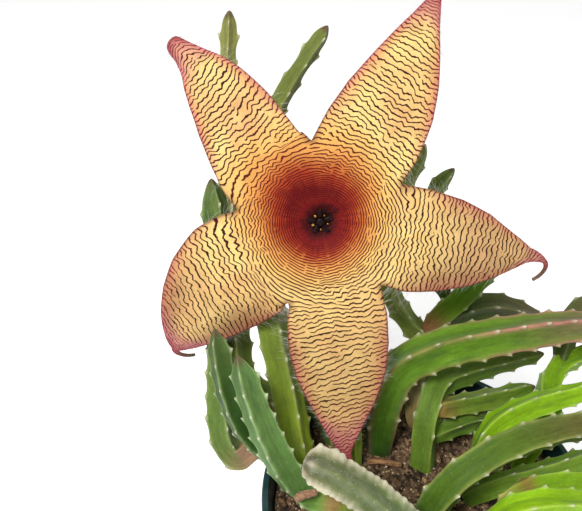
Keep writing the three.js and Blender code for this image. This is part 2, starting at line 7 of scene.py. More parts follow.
import bpy
import numpy as np
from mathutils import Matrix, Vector


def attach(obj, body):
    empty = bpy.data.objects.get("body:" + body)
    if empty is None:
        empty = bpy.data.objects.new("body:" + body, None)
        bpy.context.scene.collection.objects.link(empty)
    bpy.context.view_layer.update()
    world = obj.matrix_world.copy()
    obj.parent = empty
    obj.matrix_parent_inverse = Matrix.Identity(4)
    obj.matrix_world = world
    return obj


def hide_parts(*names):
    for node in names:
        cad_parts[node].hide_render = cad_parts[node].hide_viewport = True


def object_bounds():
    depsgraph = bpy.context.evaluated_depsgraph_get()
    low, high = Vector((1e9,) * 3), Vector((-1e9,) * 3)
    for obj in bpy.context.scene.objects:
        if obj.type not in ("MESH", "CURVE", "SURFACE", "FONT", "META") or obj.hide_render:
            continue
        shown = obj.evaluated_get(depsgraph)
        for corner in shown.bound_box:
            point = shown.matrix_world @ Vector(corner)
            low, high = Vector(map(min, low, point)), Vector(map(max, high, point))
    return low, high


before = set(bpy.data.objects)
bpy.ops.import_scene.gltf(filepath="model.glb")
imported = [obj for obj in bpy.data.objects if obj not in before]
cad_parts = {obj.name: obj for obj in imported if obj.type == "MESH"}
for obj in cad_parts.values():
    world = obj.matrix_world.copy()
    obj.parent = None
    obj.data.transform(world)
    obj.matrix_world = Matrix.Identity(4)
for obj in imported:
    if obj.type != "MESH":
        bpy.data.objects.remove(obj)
CAD_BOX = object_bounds()

MM = 0.001

# The camera: its focal length in pixels of the photo, its tilt down in degrees, its place in metres
PHOTO_WIDTH = 582
FOCAL_PIXELS = 700
CAMERA_PITCH = 42
CAMERA_PLACE = (-0.078, -0.208, 0.538)
FLOOR = 6000.0  # half its side

# Sizes shared with the solids

POT_RIM = 95.0
POT_HEIGHT = 165.0
POT_FOOT = 66.0
POT_WALL = 2.0
POT_FLOOR = 3.0
LIP_DEPTH = 16.0
LIP_STEP = 2.2
DRAIN_COUNT = 8
DRAIN_RADIUS = 5.0
DRAIN_RING = 50.0
SOIL_TOP = 151.0
ROOT_DEPTH = 12.0
FIT_GAP = 0.35

BARK_STRIP = ([[-31, 28.5, 153], [-20, 28, 154], [-9.5, 26, 153.5]], 1.9)
DRY_SHOOT = ([[-76, -9, 175.5], [-70, -7, 177.5], [-63, -5, 176.5]], 2.3)

FLOWER_CENTRE = np.array([-62.5, 74, 305.5])
LEAN_BACK = 26
HOLE_RADIUS = 3.0
NOTCH_RADIUS = 46.0
CUP_DEPTH = 9.0
CUP_RADIUS = 34.0
THICKNESS = 2.0
EDGE_THICKNESS = 1.2
LOBE_AT = [46, 60, 75, 90, 105, 120, 134, 144, 156]
FLAT_TO = 42
REACH_END = 155.0

STALK_PATH = [[-64, 104, 288], [-72, 109, 278], [-84, 104, 272], [-94, 90, 270]]
STALK_RADIUS = 3.2
CALYX_RADIUS = 6.0
SEPAL_LENGTH = 12.0

# The stripes: their spacing and the width of their lines at distances from the middle, the cells of
# the images that they grow in, and how far the lines are pushed to and fro
SPACING_AT = [8, 18, 24, 30, 36, 44, 60, 75, 100, 118, 135, 150]
SPACING = [1.05, 1.1, 1.22, 1.42, 1.85, 2.5, 2.85, 3.05, 3.05, 2.6, 2.1, 1.8]
LINE_AT = [10, 30, 50, 70, 110, 140]
LINE_WIDTH = [0.5, 0.6, 0.8, 0.88, 0.86, 0.72]
GRID = 1060  # cells along a side of an image
CELL = 0.3
KINK = 1.2

FACE_COLUMNS, BACK_COLUMNS = 54, 6  # across a lobe
HAIRS_A_SIDE = 95
PETAL_ANGLES = np.radians(23 + 72 * np.arange(5))

# One entry a lobe, anticlockwise from the front, with lengths in millimetres and angles in degrees.
# axis: its bearing. next and last: half its opening, on the sides of the next and the last lobe.
# notch: how far out the notch before the next lobe is. curl: how it curves across. roll: its twist.
# wide: half its width at the places of LOBE_AT. bend and swing: how far it leans back and turns
# sideways there. turn: how far its stripes are turned from square to its axis there, and fan: how
# much further at the margin on the next lobe's side. blush: where it begins to redden.
# tan_and_shade:
# how much it browns, with painted shade where it bends away from the light, before that. gap and
# line: spacing and width of its stripes, against the others.
ROUNDED_LOBE = 133  # the axis of the lobe whose tip folds back
HOOKED_LOBES = (2, 4)  # the numbers of the two with drawn out, withered tips
LOBES = [
    dict(
        axis=61, next=35.8, last=33.6, notch=44, curl=16, roll=-4,
        blush=110, tan_and_shade=0.0, gap=1.0, line=0.9,
        wide=[26, 26.2, 24.1, 19.4, 13.8, 8, 3.8, 1.5, 0.8],
        bend=[2, 6, 12, 20, 28, 34, 40, 44, 50],
        swing=[-2, 0, 3, 5, 4, 1.5, -0.5, -1.5, -2],
        turn=[-3, -2, -6, -9, -9, 2, 0, 0, 0],
        fan=[-8, -8, -8, -5, 6, 20, 0, 0, 0],
    ),
    dict(
        axis=133, next=36.4, last=36.2, notch=44, curl=18, roll=4,
        blush=97, tan_and_shade=0.12, gap=1.0, line=0.95,
        wide=[25, 23.4, 20.8, 16.4, 10.6, 5.8, 3.2, 1.6, 0.8],
        bend=[1, 4, 8, 14, 22, 36, 105, 180, 220],
        swing=[-11, -13, -10, -4, 3.5, 11, 12, 10, 10],
        turn=[10, 12, 13, 14, 9, 0, 0, 0, 0],
        fan=[0, 0, -4, -2, 0, 30, 0, 0, 0],
    ),
    dict(
        axis=209, next=39.5, last=39.6, notch=46.5, curl=16, roll=0,
        blush=104, tan_and_shade=0.24, gap=1.14, line=0.97,
        wide=[29.4, 32.2, 30.2, 25.2, 18.2, 10.2, 2.8, 1, 0.8],
        bend=[4, 9, 16, 24, 32, 40, 50, 40, 20],
        swing=[13, 19, 23, 26, 30, 34, 40, 108, 165],
        turn=[-8, -20, -26, -30, -40, -30, -30, 0, 0],
        fan=[-8, -18, -18, -22, -20, 10, 0, 0, 0],
    ),
    dict(
        axis=281.2, next=33.4, last=32.7, notch=46.5, curl=14, roll=0,
        blush=114, tan_and_shade=0.26, gap=1.08, line=0.92,
        wide=[26, 27.3, 28, 26, 20.5, 13.5, 7, 2, 0.8],
        bend=[1, 2, 4, 6, 8, 8, 8, 4, 0],
        swing=[-5, -7, -5, -7, -8, -8, -4, 10, 20],
        turn=[3, 4, 9, 11, 16, 18, 25, 0, 0],
        fan=[4, -8, -6, -16, -18, -16, -8, 0, 0],
    ),
    dict(
        axis=350, next=37.4, last=35.4, notch=46.5, curl=16, roll=4,
        blush=110, tan_and_shade=0.6, gap=1.0, line=0.94,
        wide=[28, 28.4, 26, 20.8, 12.6, 4.4, 1.5, 1, 0.8],
        bend=[2, 5, 9, 14, 20, 26, 34, 34, 30],
        swing=[-2.5, -1.5, -1, 0, 1.5, -2, -28, -90, -135],
        turn=[2, 6, -2, -4, -8, -20, -60, 0, 0],
        fan=[-4, -4, -4, -5, -5, 25, 0, 0, 0],
    ),
]

# Colours, as they would be written for a screen, 0 to 255

PALE_YELLOW = (247, 214, 136)
PEACH = (216, 154, 102)
# a brown for the outer lobes, which also stands for painted shade where they bend away from the
# light
TAN_AND_SHADE = (180, 130, 98)
SHADED = (142, 92, 62)
PINK = (200, 112, 124)
MAGENTA = (160, 62, 74)
LINE_BROWN = (56, 22, 17)
LINE_RED = (120, 34, 42)
# Towards the middle: colour, distance from the middle where it starts, and how softly it does so
FACE_RINGS = [
    ((236, 188, 108), 45, 10), ((224, 156, 82), 37, 8), ((194, 104, 48), 30, 7),
    ((160, 54, 28), 24.5, 6), ((112, 15, 17), 19, 6), ((64, 3, 10), 12, 4), ((14, 1, 4), 6.8, 2.2),
]
LINE_RINGS = [
    ((84, 34, 20), 46, 12), ((98, 32, 18), 33, 7), ((100, 18, 15), 25, 5), ((86, 7, 13), 18, 5),
    ((38, 2, 7), 11, 3), ((11, 1, 3), 6.8, 2.2),
]
BACK_CREAM = (206, 188, 132)
BACK_RED = (170, 104, 90)

# Skins: colour at the foot, in the middle and at the tip; then the colour of faces turned to the
# light, how much of it and from which share of the length; then that of the ribs and how much.
SKINS = {
    "deep": (
        (62, 96, 30), (78, 112, 44), (104, 122, 62),
        (112, 128, 60), 0.35, 0.3, (168, 186, 116), 0.6,
    ),
    "tall": (
        (84, 104, 40), (108, 124, 54), (136, 138, 74),
        (138, 140, 76), 0.3, 0.3, (190, 190, 120), 0.6,
    ),
    "hanging": (
        (128, 118, 78), (92, 122, 50), (88, 112, 62),
        (118, 134, 66), 0.4, 0.2, (170, 188, 116), 0.6,
    ),
    "olive": (
        (150, 172, 38), (112, 136, 42), (98, 104, 54),
        (116, 128, 48), 0.5, 0.1, (156, 160, 90), 0.6,
    ),
    "grass": (
        (150, 182, 70), (92, 132, 60), (80, 110, 52),
        (110, 142, 78), 0.5, 0.2, (176, 204, 136), 0.75,
    ),
    "wool": (
        (58, 100, 18), (88, 114, 50), (112, 114, 72),
        (104, 122, 72), 0.5, 0.2, (196, 188, 156), 0.9,
    ),
    "young": (
        (132, 160, 52), (140, 168, 52), (104, 132, 44),
        (150, 178, 64), 0.4, 0.0, (180, 200, 90), 0.6,
    ),
    "arching": (
        (46, 78, 12), (104, 144, 38), (120, 102, 68),
        (130, 112, 76), 0.85, 0.5, (206, 130, 124), 1.0,
    ),
    "trunk": (
        (110, 142, 42), (94, 126, 40), (96, 112, 48),
        (104, 130, 46), 0.5, 0.0, (168, 180, 90), 0.5,
    ),
    "shady": (
        (50, 82, 26), (54, 88, 30), (82, 100, 48),
        (72, 104, 42), 0.35, 0.3, (160, 184, 118), 0.7,
    ),
    "brown_side": (
        (124, 88, 54), (92, 132, 26), (90, 130, 30),
        (96, 142, 26), 0.7, 0.0, (160, 176, 90), 0.6,
    ),
    "pale": (
        (134, 112, 66), (126, 144, 62), (112, 130, 70),
        (134, 150, 80), 0.4, 0.2, (176, 190, 120), 0.6,
    ),
    "dusky": (
        (88, 108, 42), (82, 98, 46), (100, 90, 58),
        (110, 100, 64), 0.6, 0.3, (154, 150, 104), 0.6,
    ),
    "tan_foot": (
        (150, 122, 62), (112, 132, 42), (92, 124, 34),
        (104, 138, 40), 0.5, 0.1, (170, 184, 88), 0.5,
    ),
    "bright": (
        (112, 152, 12), (136, 184, 16), (148, 196, 26),
        (154, 200, 32), 0.4, 0.0, (192, 220, 92), 0.6,
    ),
    "broad": (
        (46, 84, 12), (84, 112, 28), (98, 94, 44),
        (108, 100, 52), 0.7, 0.45, (170, 176, 96), 0.7,
    ),
    "shaded": (
        (92, 128, 34), (108, 142, 42), (114, 144, 46),
        (120, 150, 50), 0.4, 0.0, (160, 180, 90), 0.6,
    ),
    "low": (
        (112, 150, 18), (114, 156, 16), (126, 168, 22),
        (134, 176, 26), 0.4, 0.0, (178, 206, 84), 0.6,
    ),
}

# Stems: each node is a rooted stem and the side shoots that grow from it.
# path, (radius at base, middle and tip), turn, pitch of the teeth, skin. One in wool is blunt.
STEMS = {
    "stem_left": [
        ([(-52, 48, 151), (-58, 53, 170), (-80, 61, 179), (-96, 62, 180), (-108, 66, 191),
          (-111, 75, 210), (-112, 88, 236), (-111, 106, 260), (-113, 122, 281), (-114, 138, 310),
          (-115, 152, 335), (-112, 171, 380)], (7.5, 8.5, 4.4), 0, 14, "tall"),
        ([(-77, 61, 175), (-90, 50, 175), (-98, 34, 171), (-108, 28, 160.5), (-117, 33, 164.5),
          (-121.5, 45, 180), (-121, 66, 211), (-121, 83, 232), (-121, 97, 252), (-122, 109, 273),
          (-124, 121, 302)], (6.5, 8.7, 8.2), 20, 14, "hanging"),
        ([(-78, 62, 178), (-80, 66, 182), (-82, 68, 189), (-83, 70, 195)],
         (6, 7, 5), 10, 13, "deep"),
    ],
    "stem_behind_flower": [
        ([(-69, 20, 151), (-74.3, 26, 175), (-79, 40, 200), (-89, 67, 241), (-95, 92, 281),
          (-95, 113, 325), (-82.3, 130, 350), (-58, 152, 379.5)], (9, 10, 4.5), 30, 17, "olive"),
    ],
    "stem_front_left": [
        ([(-44, -2, 151), (-54, -3, 162), (-67, -1, 165), (-81, 4, 184), (-94, 13, 216),
          (-106, 28, 256)], (8, 10, 7.5), 10, 13, "grass"),
        ([(-81, 4, 184), (-95, 16, 189), (-106, 22, 203), (-114, 31, 229), (-119, 46, 257)],
         (6.5, 8, 6.5), 40, 13, "shady"),
    ],
    "stem_woolly": [
        ([(8, -56, 151), (5, -53, 172), (-13, -42, 194), (-37, -26, 208), (-58, -17, 218),
          (-72, -13, 222)], (9, 10.5, 9.5), 30, 9, "wool"),
    ],
    "stem_young": [
        ([(-38, 27, 151), (-39, 31, 163), (-40, 37, 176), (-42, 44, 192), (-44, 51, 206)],
         (4.5, 5, 4), 0, 14, "young"),
    ],
    "stem_arching": [
        ([(-22, 43, 151), (-21, 50, 179), (-12, 59, 205), (10, 64, 218), (35, 68, 222),
          (66, 74, 223), (99, 80, 221), (130, 86, 212), (156, 92, 202)],
         (11, 12.5, 8), 45, 16, "arching"),
    ],
    "stem_forked": [
        ([(4, 31, 151), (3.5, 34, 165), (5, 42, 181), (14, 60, 189), (32, 71, 187), (60, 78, 189),
          (84, 82, 193)], (11, 9.5, 4.5), 20, 15, "trunk"),
        ([(-1, 42, 168), (0, 53, 176), (7, 71, 180), (8, 92, 194), (-0.5, 101, 200),
          (-11, 110, 213), (-16, 119, 229), (-16, 127, 247), (-10, 138, 273), (4, 154, 304)],
         (7, 7.2, 5.5), 0, 14, "pale"),
        ([(8, 92, 194), (15, 100, 203), (29, 104, 219), (42, 106, 238), (52, 108, 248)],
         (7, 10, 7), 30, 14, "brown_side"),
        ([(24, 103, 213), (20, 112, 220), (16, 119, 226), (10, 128, 238), (11, 139, 257),
          (13, 147, 273), (24.5, 154, 286)], (4.5, 6, 5.5), 0, 14, "deep"),
        ([(17, 100, 201), (34, 105, 207), (51, 108, 209), (68, 110, 203), (82, 111, 196),
          (92, 112, 189)], (6, 9, 6), 0, 15, "dusky"),
        ([(6, 41, 185), (13, 46, 184), (33, 53, 180), (58, 60, 179), (76, 64, 183)],
         (7.2, 7.4, 6), 20, 15, "tan_foot"),
        ([(6, 36, 166), (20, 41, 170), (35, 46, 171), (50, 50, 167)],
         (5.5, 6.5, 4), 0, 13, "trunk"),
    ],
    "stem_right_back": [
        ([(64, 28, 151), (69, 33, 168), (79, 46, 178), (85, 66, 181), (95.5, 80, 182),
          (110, 88, 183), (124, 92, 186), (142, 95, 187)], (7.5, 9, 6), 20, 15, "low"),
        ([(95.5, 80, 182), (100, 92, 189), (105, 103, 199), (115, 111, 205), (128, 117, 207),
          (140, 119, 208)], (6.5, 8, 5.5), 0, 15, "dusky"),
    ],
    "stem_right_bright": [
        ([(36, 24, 151), (36, 25, 175), (41, 29, 190), (51, 34, 194), (65, 40, 195), (83, 46, 195),
          (101, 50, 197), (125, 54, 199), (142, 57, 197)], (7, 8, 5.5), 35, 16, "bright"),
    ],
    "stem_right_broad": [
        ([(-4, -20, 151), (-4, -20, 170), (2, -15, 189), (12, -10, 203), (27, -4, 212),
          (44, 3, 215), (65, 10, 214), (86, 16, 210), (110, 20, 205), (132, 24, 198)],
         (10, 10.5, 7.5), 0, 18, "broad"),
    ],
    "stem_right_shaded": [
        ([(30, 6, 151), (36, 4, 163), (44, 3, 172), (58, 4, 178), (74, 6, 183), (91, 10, 187),
          (110, 14, 187), (128, 18, 185)], (6.5, 7.5, 5), 0, 15, "shaded"),
    ],
    "stem_right_low": [
        ([(40, -16, 151), (41, -15, 172), (45, -12, 186), (56, -10, 193), (73, -8, 193),
          (91, -6, 189), (110, -4, 184), (126, -2, 178)], (6.5, 7.5, 5), 0, 15, "low"),
    ],
    "stem_right_front": [
        ([(30, -36, 151), (28, -34, 177), (31, -31, 194), (40, -29, 202), (54, -28, 205),
          (77, -25, 199), (95, -23, 194), (115, -21, 188), (130, -19, 182)],
         (7.5, 8.5, 6), 45, 15, "bright"),
    ],
}
# Marks of old joints: distance from the foot of the shoot, half width, colour
MARKS = {
    ("stem_left", 1): [(46, 8, (160, 118, 96))],
    ("stem_front_left", 0): [(28, 4, (170, 112, 84)), (18, 7, (168, 186, 74))],
    ("stem_right_low", 0): [(46, 5, (188, 168, 92)), (56, 4, (150, 110, 62))],
    ("stem_forked", 5): [(4, 4, (150, 120, 66))],
    ("stem_forked", 2): [(9, 13, (148, 98, 66))],
}
BARE_FOOT = 20.0
JOINT_LENGTH = 10.0
TOOTH_HEIGHT = 1.7
RING_STEP = 1.1
QUARTER = [0, 3.5, 8, 14, 22, 33, 45, 57, 68, 76, 82, 86.5]  # degrees round a quarter of a stem
WOOLLY_FRONT = np.array([-0.1, -0.67, 0.74])  # the direction of the woolly stem's smoother side

SOIL_AROUND, SOIL_RINGS = 260, 72
CRUMBS = 1550
# share of the crumbs, least and greatest size, flatness, length, colours
CRUMB_KINDS = [
    (0.48, (0.9, 2.6), 0.75, 1.3, ((34, 25, 19), (90, 68, 50))),
    (0.28, (1.4, 3.8), 0.45, 1.9, ((82, 60, 42), (146, 116, 84))),
    (0.12, (0.7, 1.7), 0.85, 1.1, ((170, 152, 122), (218, 206, 180))),
    (0.12, (1.6, 3.6), 0.25, 3.4, ((104, 78, 54), (168, 136, 98))),
]

MIX_A, MIX_B, MIX_RESULT = 6, 7, 2  # the mix node's sockets for colours


# Small helpers


def linear(colour):
    """A screen colour, 0 to 255, as the linear values that a shader wants."""
    c = np.asarray(colour, float) / 255
    return np.where(c <= 0.04045, c / 12.92, ((c + 0.055) / 1.055) ** 2.4)


def smooth(x):
    t = np.clip(x, 0, 1)
    return t * t * (3 - 2 * t)


def rise(x, start, span):
    """0 up to the start, and 1 from a span beyond it on."""
    return smooth((x - start) / span)


def fall(x, end, span):
    """1 until a span before the end, and 0 from the end on."""
    return smooth((end - x) / span)


def bell(x, width):
    return np.exp(-((x / width) ** 2))


def circle(count):
    return np.arange(count) * 2 * np.pi / count


def blend(a, b, share):
    """Two colours mixed by a share for each vertex. A tuple is a screen colour."""
    a, b = (linear(c) if isinstance(c, tuple) else c for c in (a, b))
    share = np.asarray(share)[..., None]
    return a * (1 - share) + b * share


def layered(tone, *layers):
    """A colour with layers over it, each a colour and its share."""
    for colour, share in layers:
        tone = blend(tone, colour, share)
    return tone


def unit(v):
    return v / np.maximum(np.linalg.norm(v, axis=-1, keepdims=True), 1e-9)


def spun(x, y, degrees):
    """A place or a direction turned about Z."""
    c, n = math.cos(math.radians(degrees)), math.sin(math.radians(degrees))
    return x * c - y * n, x * n + y * c


def facing(angle, lift=0.0):
    """The direction out at an angle, lifted so much, and the one to its left."""
    c, n = math.cos(angle), math.sin(angle)
    return np.array([c, n, lift]), np.array([-n, c, 0])


class Lattice:
    """Smooth noise, -1 to 1, from random values on a repeating cubic lattice."""

    def __init__(self, seed, size=24):
        self.size = size
        self.values = np.random.default_rng(seed).uniform(-1, 1, (size, size, size))

    def at(self, points, scale):
        p = np.asarray(points, float) / scale
        low = np.floor(p).astype(int)
        f = smooth(p - low)
        total = 0
        for corner in range(8):
            bits = [(corner >> k) & 1 for k in range(3)]
            cell = tuple((low[..., k] + bits[k]) % self.size for k in range(3))
            weight = 1
            for k in range(3):
                weight = weight * (f[..., k] if bits[k] else 1 - f[..., k])
            total = total + weight * self.values[cell]
        return total


NOISE = Lattice(3)


def mesh_of(name, points, quads, triangles=()):
    """A mesh from points in millimetres and faces of four and three corners."""
    mesh = bpy.data.meshes.new(name)
    mesh.vertices.add(len(points))
    mesh.vertices.foreach_set("co", (np.asarray(points) * MM).astype(np.float32).ravel())
    corners = np.concatenate([np.ravel(quads), np.ravel(triangles)]).astype(np.int32)
    counts = np.repeat([4, 3], [len(quads), len(triangles)])
    mesh.loops.add(len(corners))
    mesh.loops.foreach_set("vertex_index", corners)
    mesh.polygons.add(len(counts))
    mesh.polygons.foreach_set("loop_start", (np.cumsum(counts) - counts).astype(np.int32))
    mesh.polygons.foreach_set("use_smooth", np.ones(len(counts), bool))
    mesh.update(calc_edges=True)
    mesh.validate()
    return mesh


def give(mesh, **values):
    """Adds a colour attribute for each three-column array and a number for each flat one."""
    for name, value in values.items():
        value = np.asarray(value, np.float32)
        if value.ndim == 2:
            data = mesh.color_attributes.new(name, "FLOAT_COLOR", "POINT").data
            data.foreach_set("color", np.pad(value, ((0, 0), (0, 1)), constant_values=1).ravel())
        else:
            mesh.attributes.new(name, "FLOAT", "POINT").data.foreach_set("value", value)


def added(name, data):
    thing = bpy.data.objects.new(name, data)
    bpy.context.scene.collection.objects.link(thing)
    return thing


def piece(name, mesh, material, slot, *nodes):
    """A finished piece of the plant, which stands for the given nodes."""
    thing = added(name, mesh)
    mesh.materials.append(material)
    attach(thing, "root")
    if nodes:
        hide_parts(*nodes)
    return thing


class Shader:
    """A principled material and the few nodes that its colour and relief need."""

    def __init__(self, name, roughness, specular, sheen=0.0):
        self.material = bpy.data.materials.new(name)
        self.material.use_nodes = True
        self.material.node_tree.nodes.clear()
        self.skin = self.node(
            "BsdfPrincipled",
            {"Roughness": roughness, "Specular IOR Level": specular, "Sheen Weight": sheen},
        )
        self.node("OutputMaterial", {"Surface": self.skin.outputs["BSDF"]})
        self.place = self.node("TexCoord").outputs["Object"]

    def put(self, value, socket):
        """Links a socket to another or sets its value. A colour is one for a screen."""
        if isinstance(value, bpy.types.NodeSocket):
            self.material.node_tree.links.new(value, socket)
        else:
            socket.default_value = (*linear(value), 1) if socket.type == "RGBA" else value

    def node(self, kind, inputs=None, **settings):
        node = self.material.node_tree.nodes.new("ShaderNode" + kind)
        for name, value in settings.items():
            setattr(node, name, value)
        for key, value in (inputs or {}).items():
            self.put(value, node.inputs[key])
        return node

    def attribute(self, name, output="Fac"):
        return self.node("Attribute", attribute_name=name).outputs[output]

    def noise(self, scale, detail=3, roughness=0.55, stretch=None, along=None):
        """Noise in the object's space, which may be stretched, or along a vector attribute."""
        where = self.attribute(along, "Vector") if along else self.place
        if stretch:
            where = self.node("Mapping", {"Vector": where, "Scale": stretch}).outputs["Vector"]
        inputs = {"Vector": where, "Scale": scale, "Detail": detail, "Roughness": roughness}
        return self.node("TexNoise", inputs).outputs["Fac"]

    def cells(self, scale):
        return self.node("TexVoronoi", {"Vector": self.place, "Scale": scale}).outputs["Distance"]

    def range(self, value, low, high, least=0.0, most=1.0, kind="SMOOTHSTEP"):
        inputs = {"From Min": low, "From Max": high, "To Min": least, "To Max": most}
        node = self.node("MapRange", {"Value": value, **inputs}, interpolation_type=kind)
        return node.outputs["Result"]

    def even(self, value, low, high, least, most):
        return self.range(value, low, high, least, most, "LINEAR")

    def math(self, operation, a, b=0.0):
        return self.node("Math", {0: a, 1: b}, operation=operation).outputs[0]

    def times(self, a, b):
        return self.math("MULTIPLY", a, b)

    def add(self, a, b):
        return self.math("ADD", a, b)

    def mix(self, share, a, b):
        inputs = {"Factor": share, MIX_A: a, MIX_B: b}
        return self.node("Mix", inputs, data_type="RGBA").outputs[MIX_RESULT]

    def shade(self, colour, amount):
        """The colour made lighter or darker by a number round 1."""
        return self.node("VectorMath", {0: colour, "Scale": amount}, operation="SCALE").outputs[0]

    def finish(self, colour, height=None, distance=0.0):
        """Sets the colour and a relief of the height, the distance deep."""
        self.put(colour, self.skin.inputs["Base Color"])
        if height:
            bump = self.node("Bump", {"Height": height, "Distance": distance * MM, "Strength": 1.0})
            self.put(bump.outputs["Normal"], self.skin.inputs["Normal"])
        return self.material


# Paths and sweeps


def stations(path, step):
    """Even steps along a path: place, direction, sideways direction and distance of each."""
    p = np.array(path, float)
    p = np.vstack([2 * p[0] - p[1], p, 2 * p[-1] - p[-2]])
    w = np.linspace(0, 1, 40, endpoint=False)[:, None]
    dense = []
    for p0, p1, p2, p3 in zip(p, p[1:], p[2:], p[3:]):
        t0, t1 = 0.5 * (p2 - p0), 0.5 * (p3 - p1)
        dense.append(
            p1 + t0 * w + (3 * (p2 - p1) - 2 * t0 - t1) * w**2 + (2 * (p1 - p2) + t0 + t1) * w**3
        )
    dense = np.vstack([*dense, p[-2:-1]])
    far = np.concatenate([[0], np.cumsum(np.linalg.norm(np.diff(dense, axis=0), axis=1))])
    length = far[-1]
    s = np.linspace(0, length, max(4, round(length / step)) + 1)
    place = np.column_stack([np.interp(s, far, dense[:, k]) for k in range(3)])
    direction = unit(np.gradient(place, axis=0))
    side = np.array([1.0, 0, 0])
    sides = []
    for d in direction:
        side = unit(side - d * (side @ d))
        sides.append(side)
    return place, direction, np.array(sides), s, length


def rays(side, across, angles):
    """Directions out of a path, at each of its stations and each of the angles."""
    return (
        side[:, None] * np.cos(angles)[None, :, None]
        + across[:, None] * np.sin(angles)[None, :, None]
    )


def tube_faces(rings, around):
    """Quads between rings of points, and triangles from the end rings to two end points."""
    i = np.arange(rings - 1)[:, None] * around
    k = np.arange(around)
    after = (k + 1) % around
    quads = np.stack([i + k, i + after, i + after + around, i + k + around], -1).reshape(-1, 4)
    start, top = rings * around, (rings - 1) * around
    first = np.stack([np.full(around, start), after, k], -1)
    last = np.stack([np.full(around, start + 1), top + k, top + after], -1)
    return quads, np.concatenate([first, last])


def rod(path, radius, around, step, wobble, seed=0, ends=1.0):
    """A round, uneven rod along a path, whose ends close over so many times its radius."""
    place, direction, side, s, length = stations(path, step)
    place, direction, side, s = place[1:-1], direction[1:-1], side[1:-1], s[1:-1]
    close = np.minimum(1, np.minimum(s, length - s) / min(radius * ends, length / 3))
    out = radius * np.sqrt(1 - (1 - close) ** 2)
    ray = rays(side, np.cross(direction, side), circle(around))
    grid = place[:, None] + ray * out[:, None, None]
    grid = grid + ray * (wobble * NOISE.at(grid + seed, 2.2) * smooth(close)[:, None])[..., None]
    return np.concatenate([grid.reshape(-1, 3), [path[0], path[-1]]]), *tube_faces(len(s), around)


def turned(profile, around):
    """A closed surface turned about Z from (radius, height) pairs, the first and last on it."""
    profile = np.array(profile, float)
    u = circle(around)
    radius, height = profile[1:-1, :1], profile[1:-1, 1:]
    ring = np.stack([radius * np.cos(u), radius * np.sin(u), height * np.ones(around)], -1)
    points = np.concatenate([ring.reshape(-1, 3), [[0, 0, profile[0, 1]], [0, 0, profile[-1, 1]]]])
    return points, *tube_faces(len(ring), around)


def ellipsoid(centre, sizes, axes, rings, around, bumpy=0.0, seed=0):
    """A closed lump with its own three directions, optionally uneven."""
    v, u = np.linspace(0, np.pi, rings + 2)[1:-1, None], circle(around)
    local = np.broadcast_arrays(np.cos(v), np.sin(v) * np.cos(u), np.sin(v) * np.sin(u))
    local = np.concatenate([np.stack(local, -1).reshape(-1, 3), [[1, 0, 0], [-1, 0, 0]]])
    if bumpy:
        local = local * (1 + bumpy * NOISE.at(local + seed * 5.7, 0.7))[:, None]
    return np.asarray(centre) + (local * sizes) @ np.asarray(axes), *tube_faces(rings, around)


def joined(parts):
    """Several (points, quads, triangles, colours) as one. Parts without colours get none."""
    starts = np.cumsum([0, *(len(part[0]) for part in parts)])
    quads = [part[1] + start for part, start in zip(parts, starts)]
    triangles = [part[2] + start for part, start in zip(parts, starts)]
    columns = [[part[0] for part in parts], quads, triangles, *zip(*(part[3:] for part in parts))]
    return [np.concatenate(column) for column in columns]


# Stems


def rib_radius(radius, s, length, tip_length):
    """Radius to the ribs along a shoot, whose tip closes over so many times its own radius."""
    base, middle, tip = radius
    swollen = base + (middle - base) * smooth(s / JOINT_LENGTH / 3)
    body = swollen + (tip - middle) * rise(s / length, 0.45, 0.55)
    left = (length - s) / (tip_length * tip)
    close = (1 - (1 - np.clip(left, 0, 1)) ** (2.0 if tip_length > 1 else 2.6)) ** 0.85
    return body * np.where(left >= 1, 1, close)


def knobs(s, length, bare, from_rib, which, rng):
    """Rows of close, rounded knobs with creases between them, which cover the end all round."""
    high = np.zeros((len(s), len(from_rib)))
    for c in range(4):
        at = bare - 8 + rng.uniform(0, 3)
        while at < length - 1:
            size, wide = rng.uniform(0.75, 1.25), rng.uniform(13, 18)
            row = np.exp(-(np.abs((s - at) / 1.75) ** 2.6))
            high += size * row[:, None] * ((which == c) * bell(from_rib, wide))[None, :]
            at += rng.uniform(3.4, 4.6)
    return high * (1 + 0.3 * rise(s, length - 26, 20)[:, None])


def teeth(s, length, bare, pitch, last, from_rib, which, rng):
    """Swells along the ribs and the points on them, in turn on ribs that lie next to each other."""
    steps = max(4, round(length / (pitch / 2)))
    tooth, point = np.zeros((2, len(s), len(from_rib)))
    for i in range(steps):
        at = i * length / steps
        for c in range(4):
            if (i + c) % 2 or at <= bare or length - at <= last:
                continue
            size = rng.uniform(0.75, 1.15)
            ahead = s - at - rng.uniform(-0.6, 0.6)
            swell = bell(ahead, np.where(ahead < 0, 4.2, 2.4))
            nib = bell(ahead, np.where(ahead < 0, 1.5, 0.8))
            tooth += np.outer(size * swell, (which == c) * bell(from_rib, 10.0))
            point += np.outer(size * nib, (which == c) * bell(from_rib, 4.5))
    return tooth, point


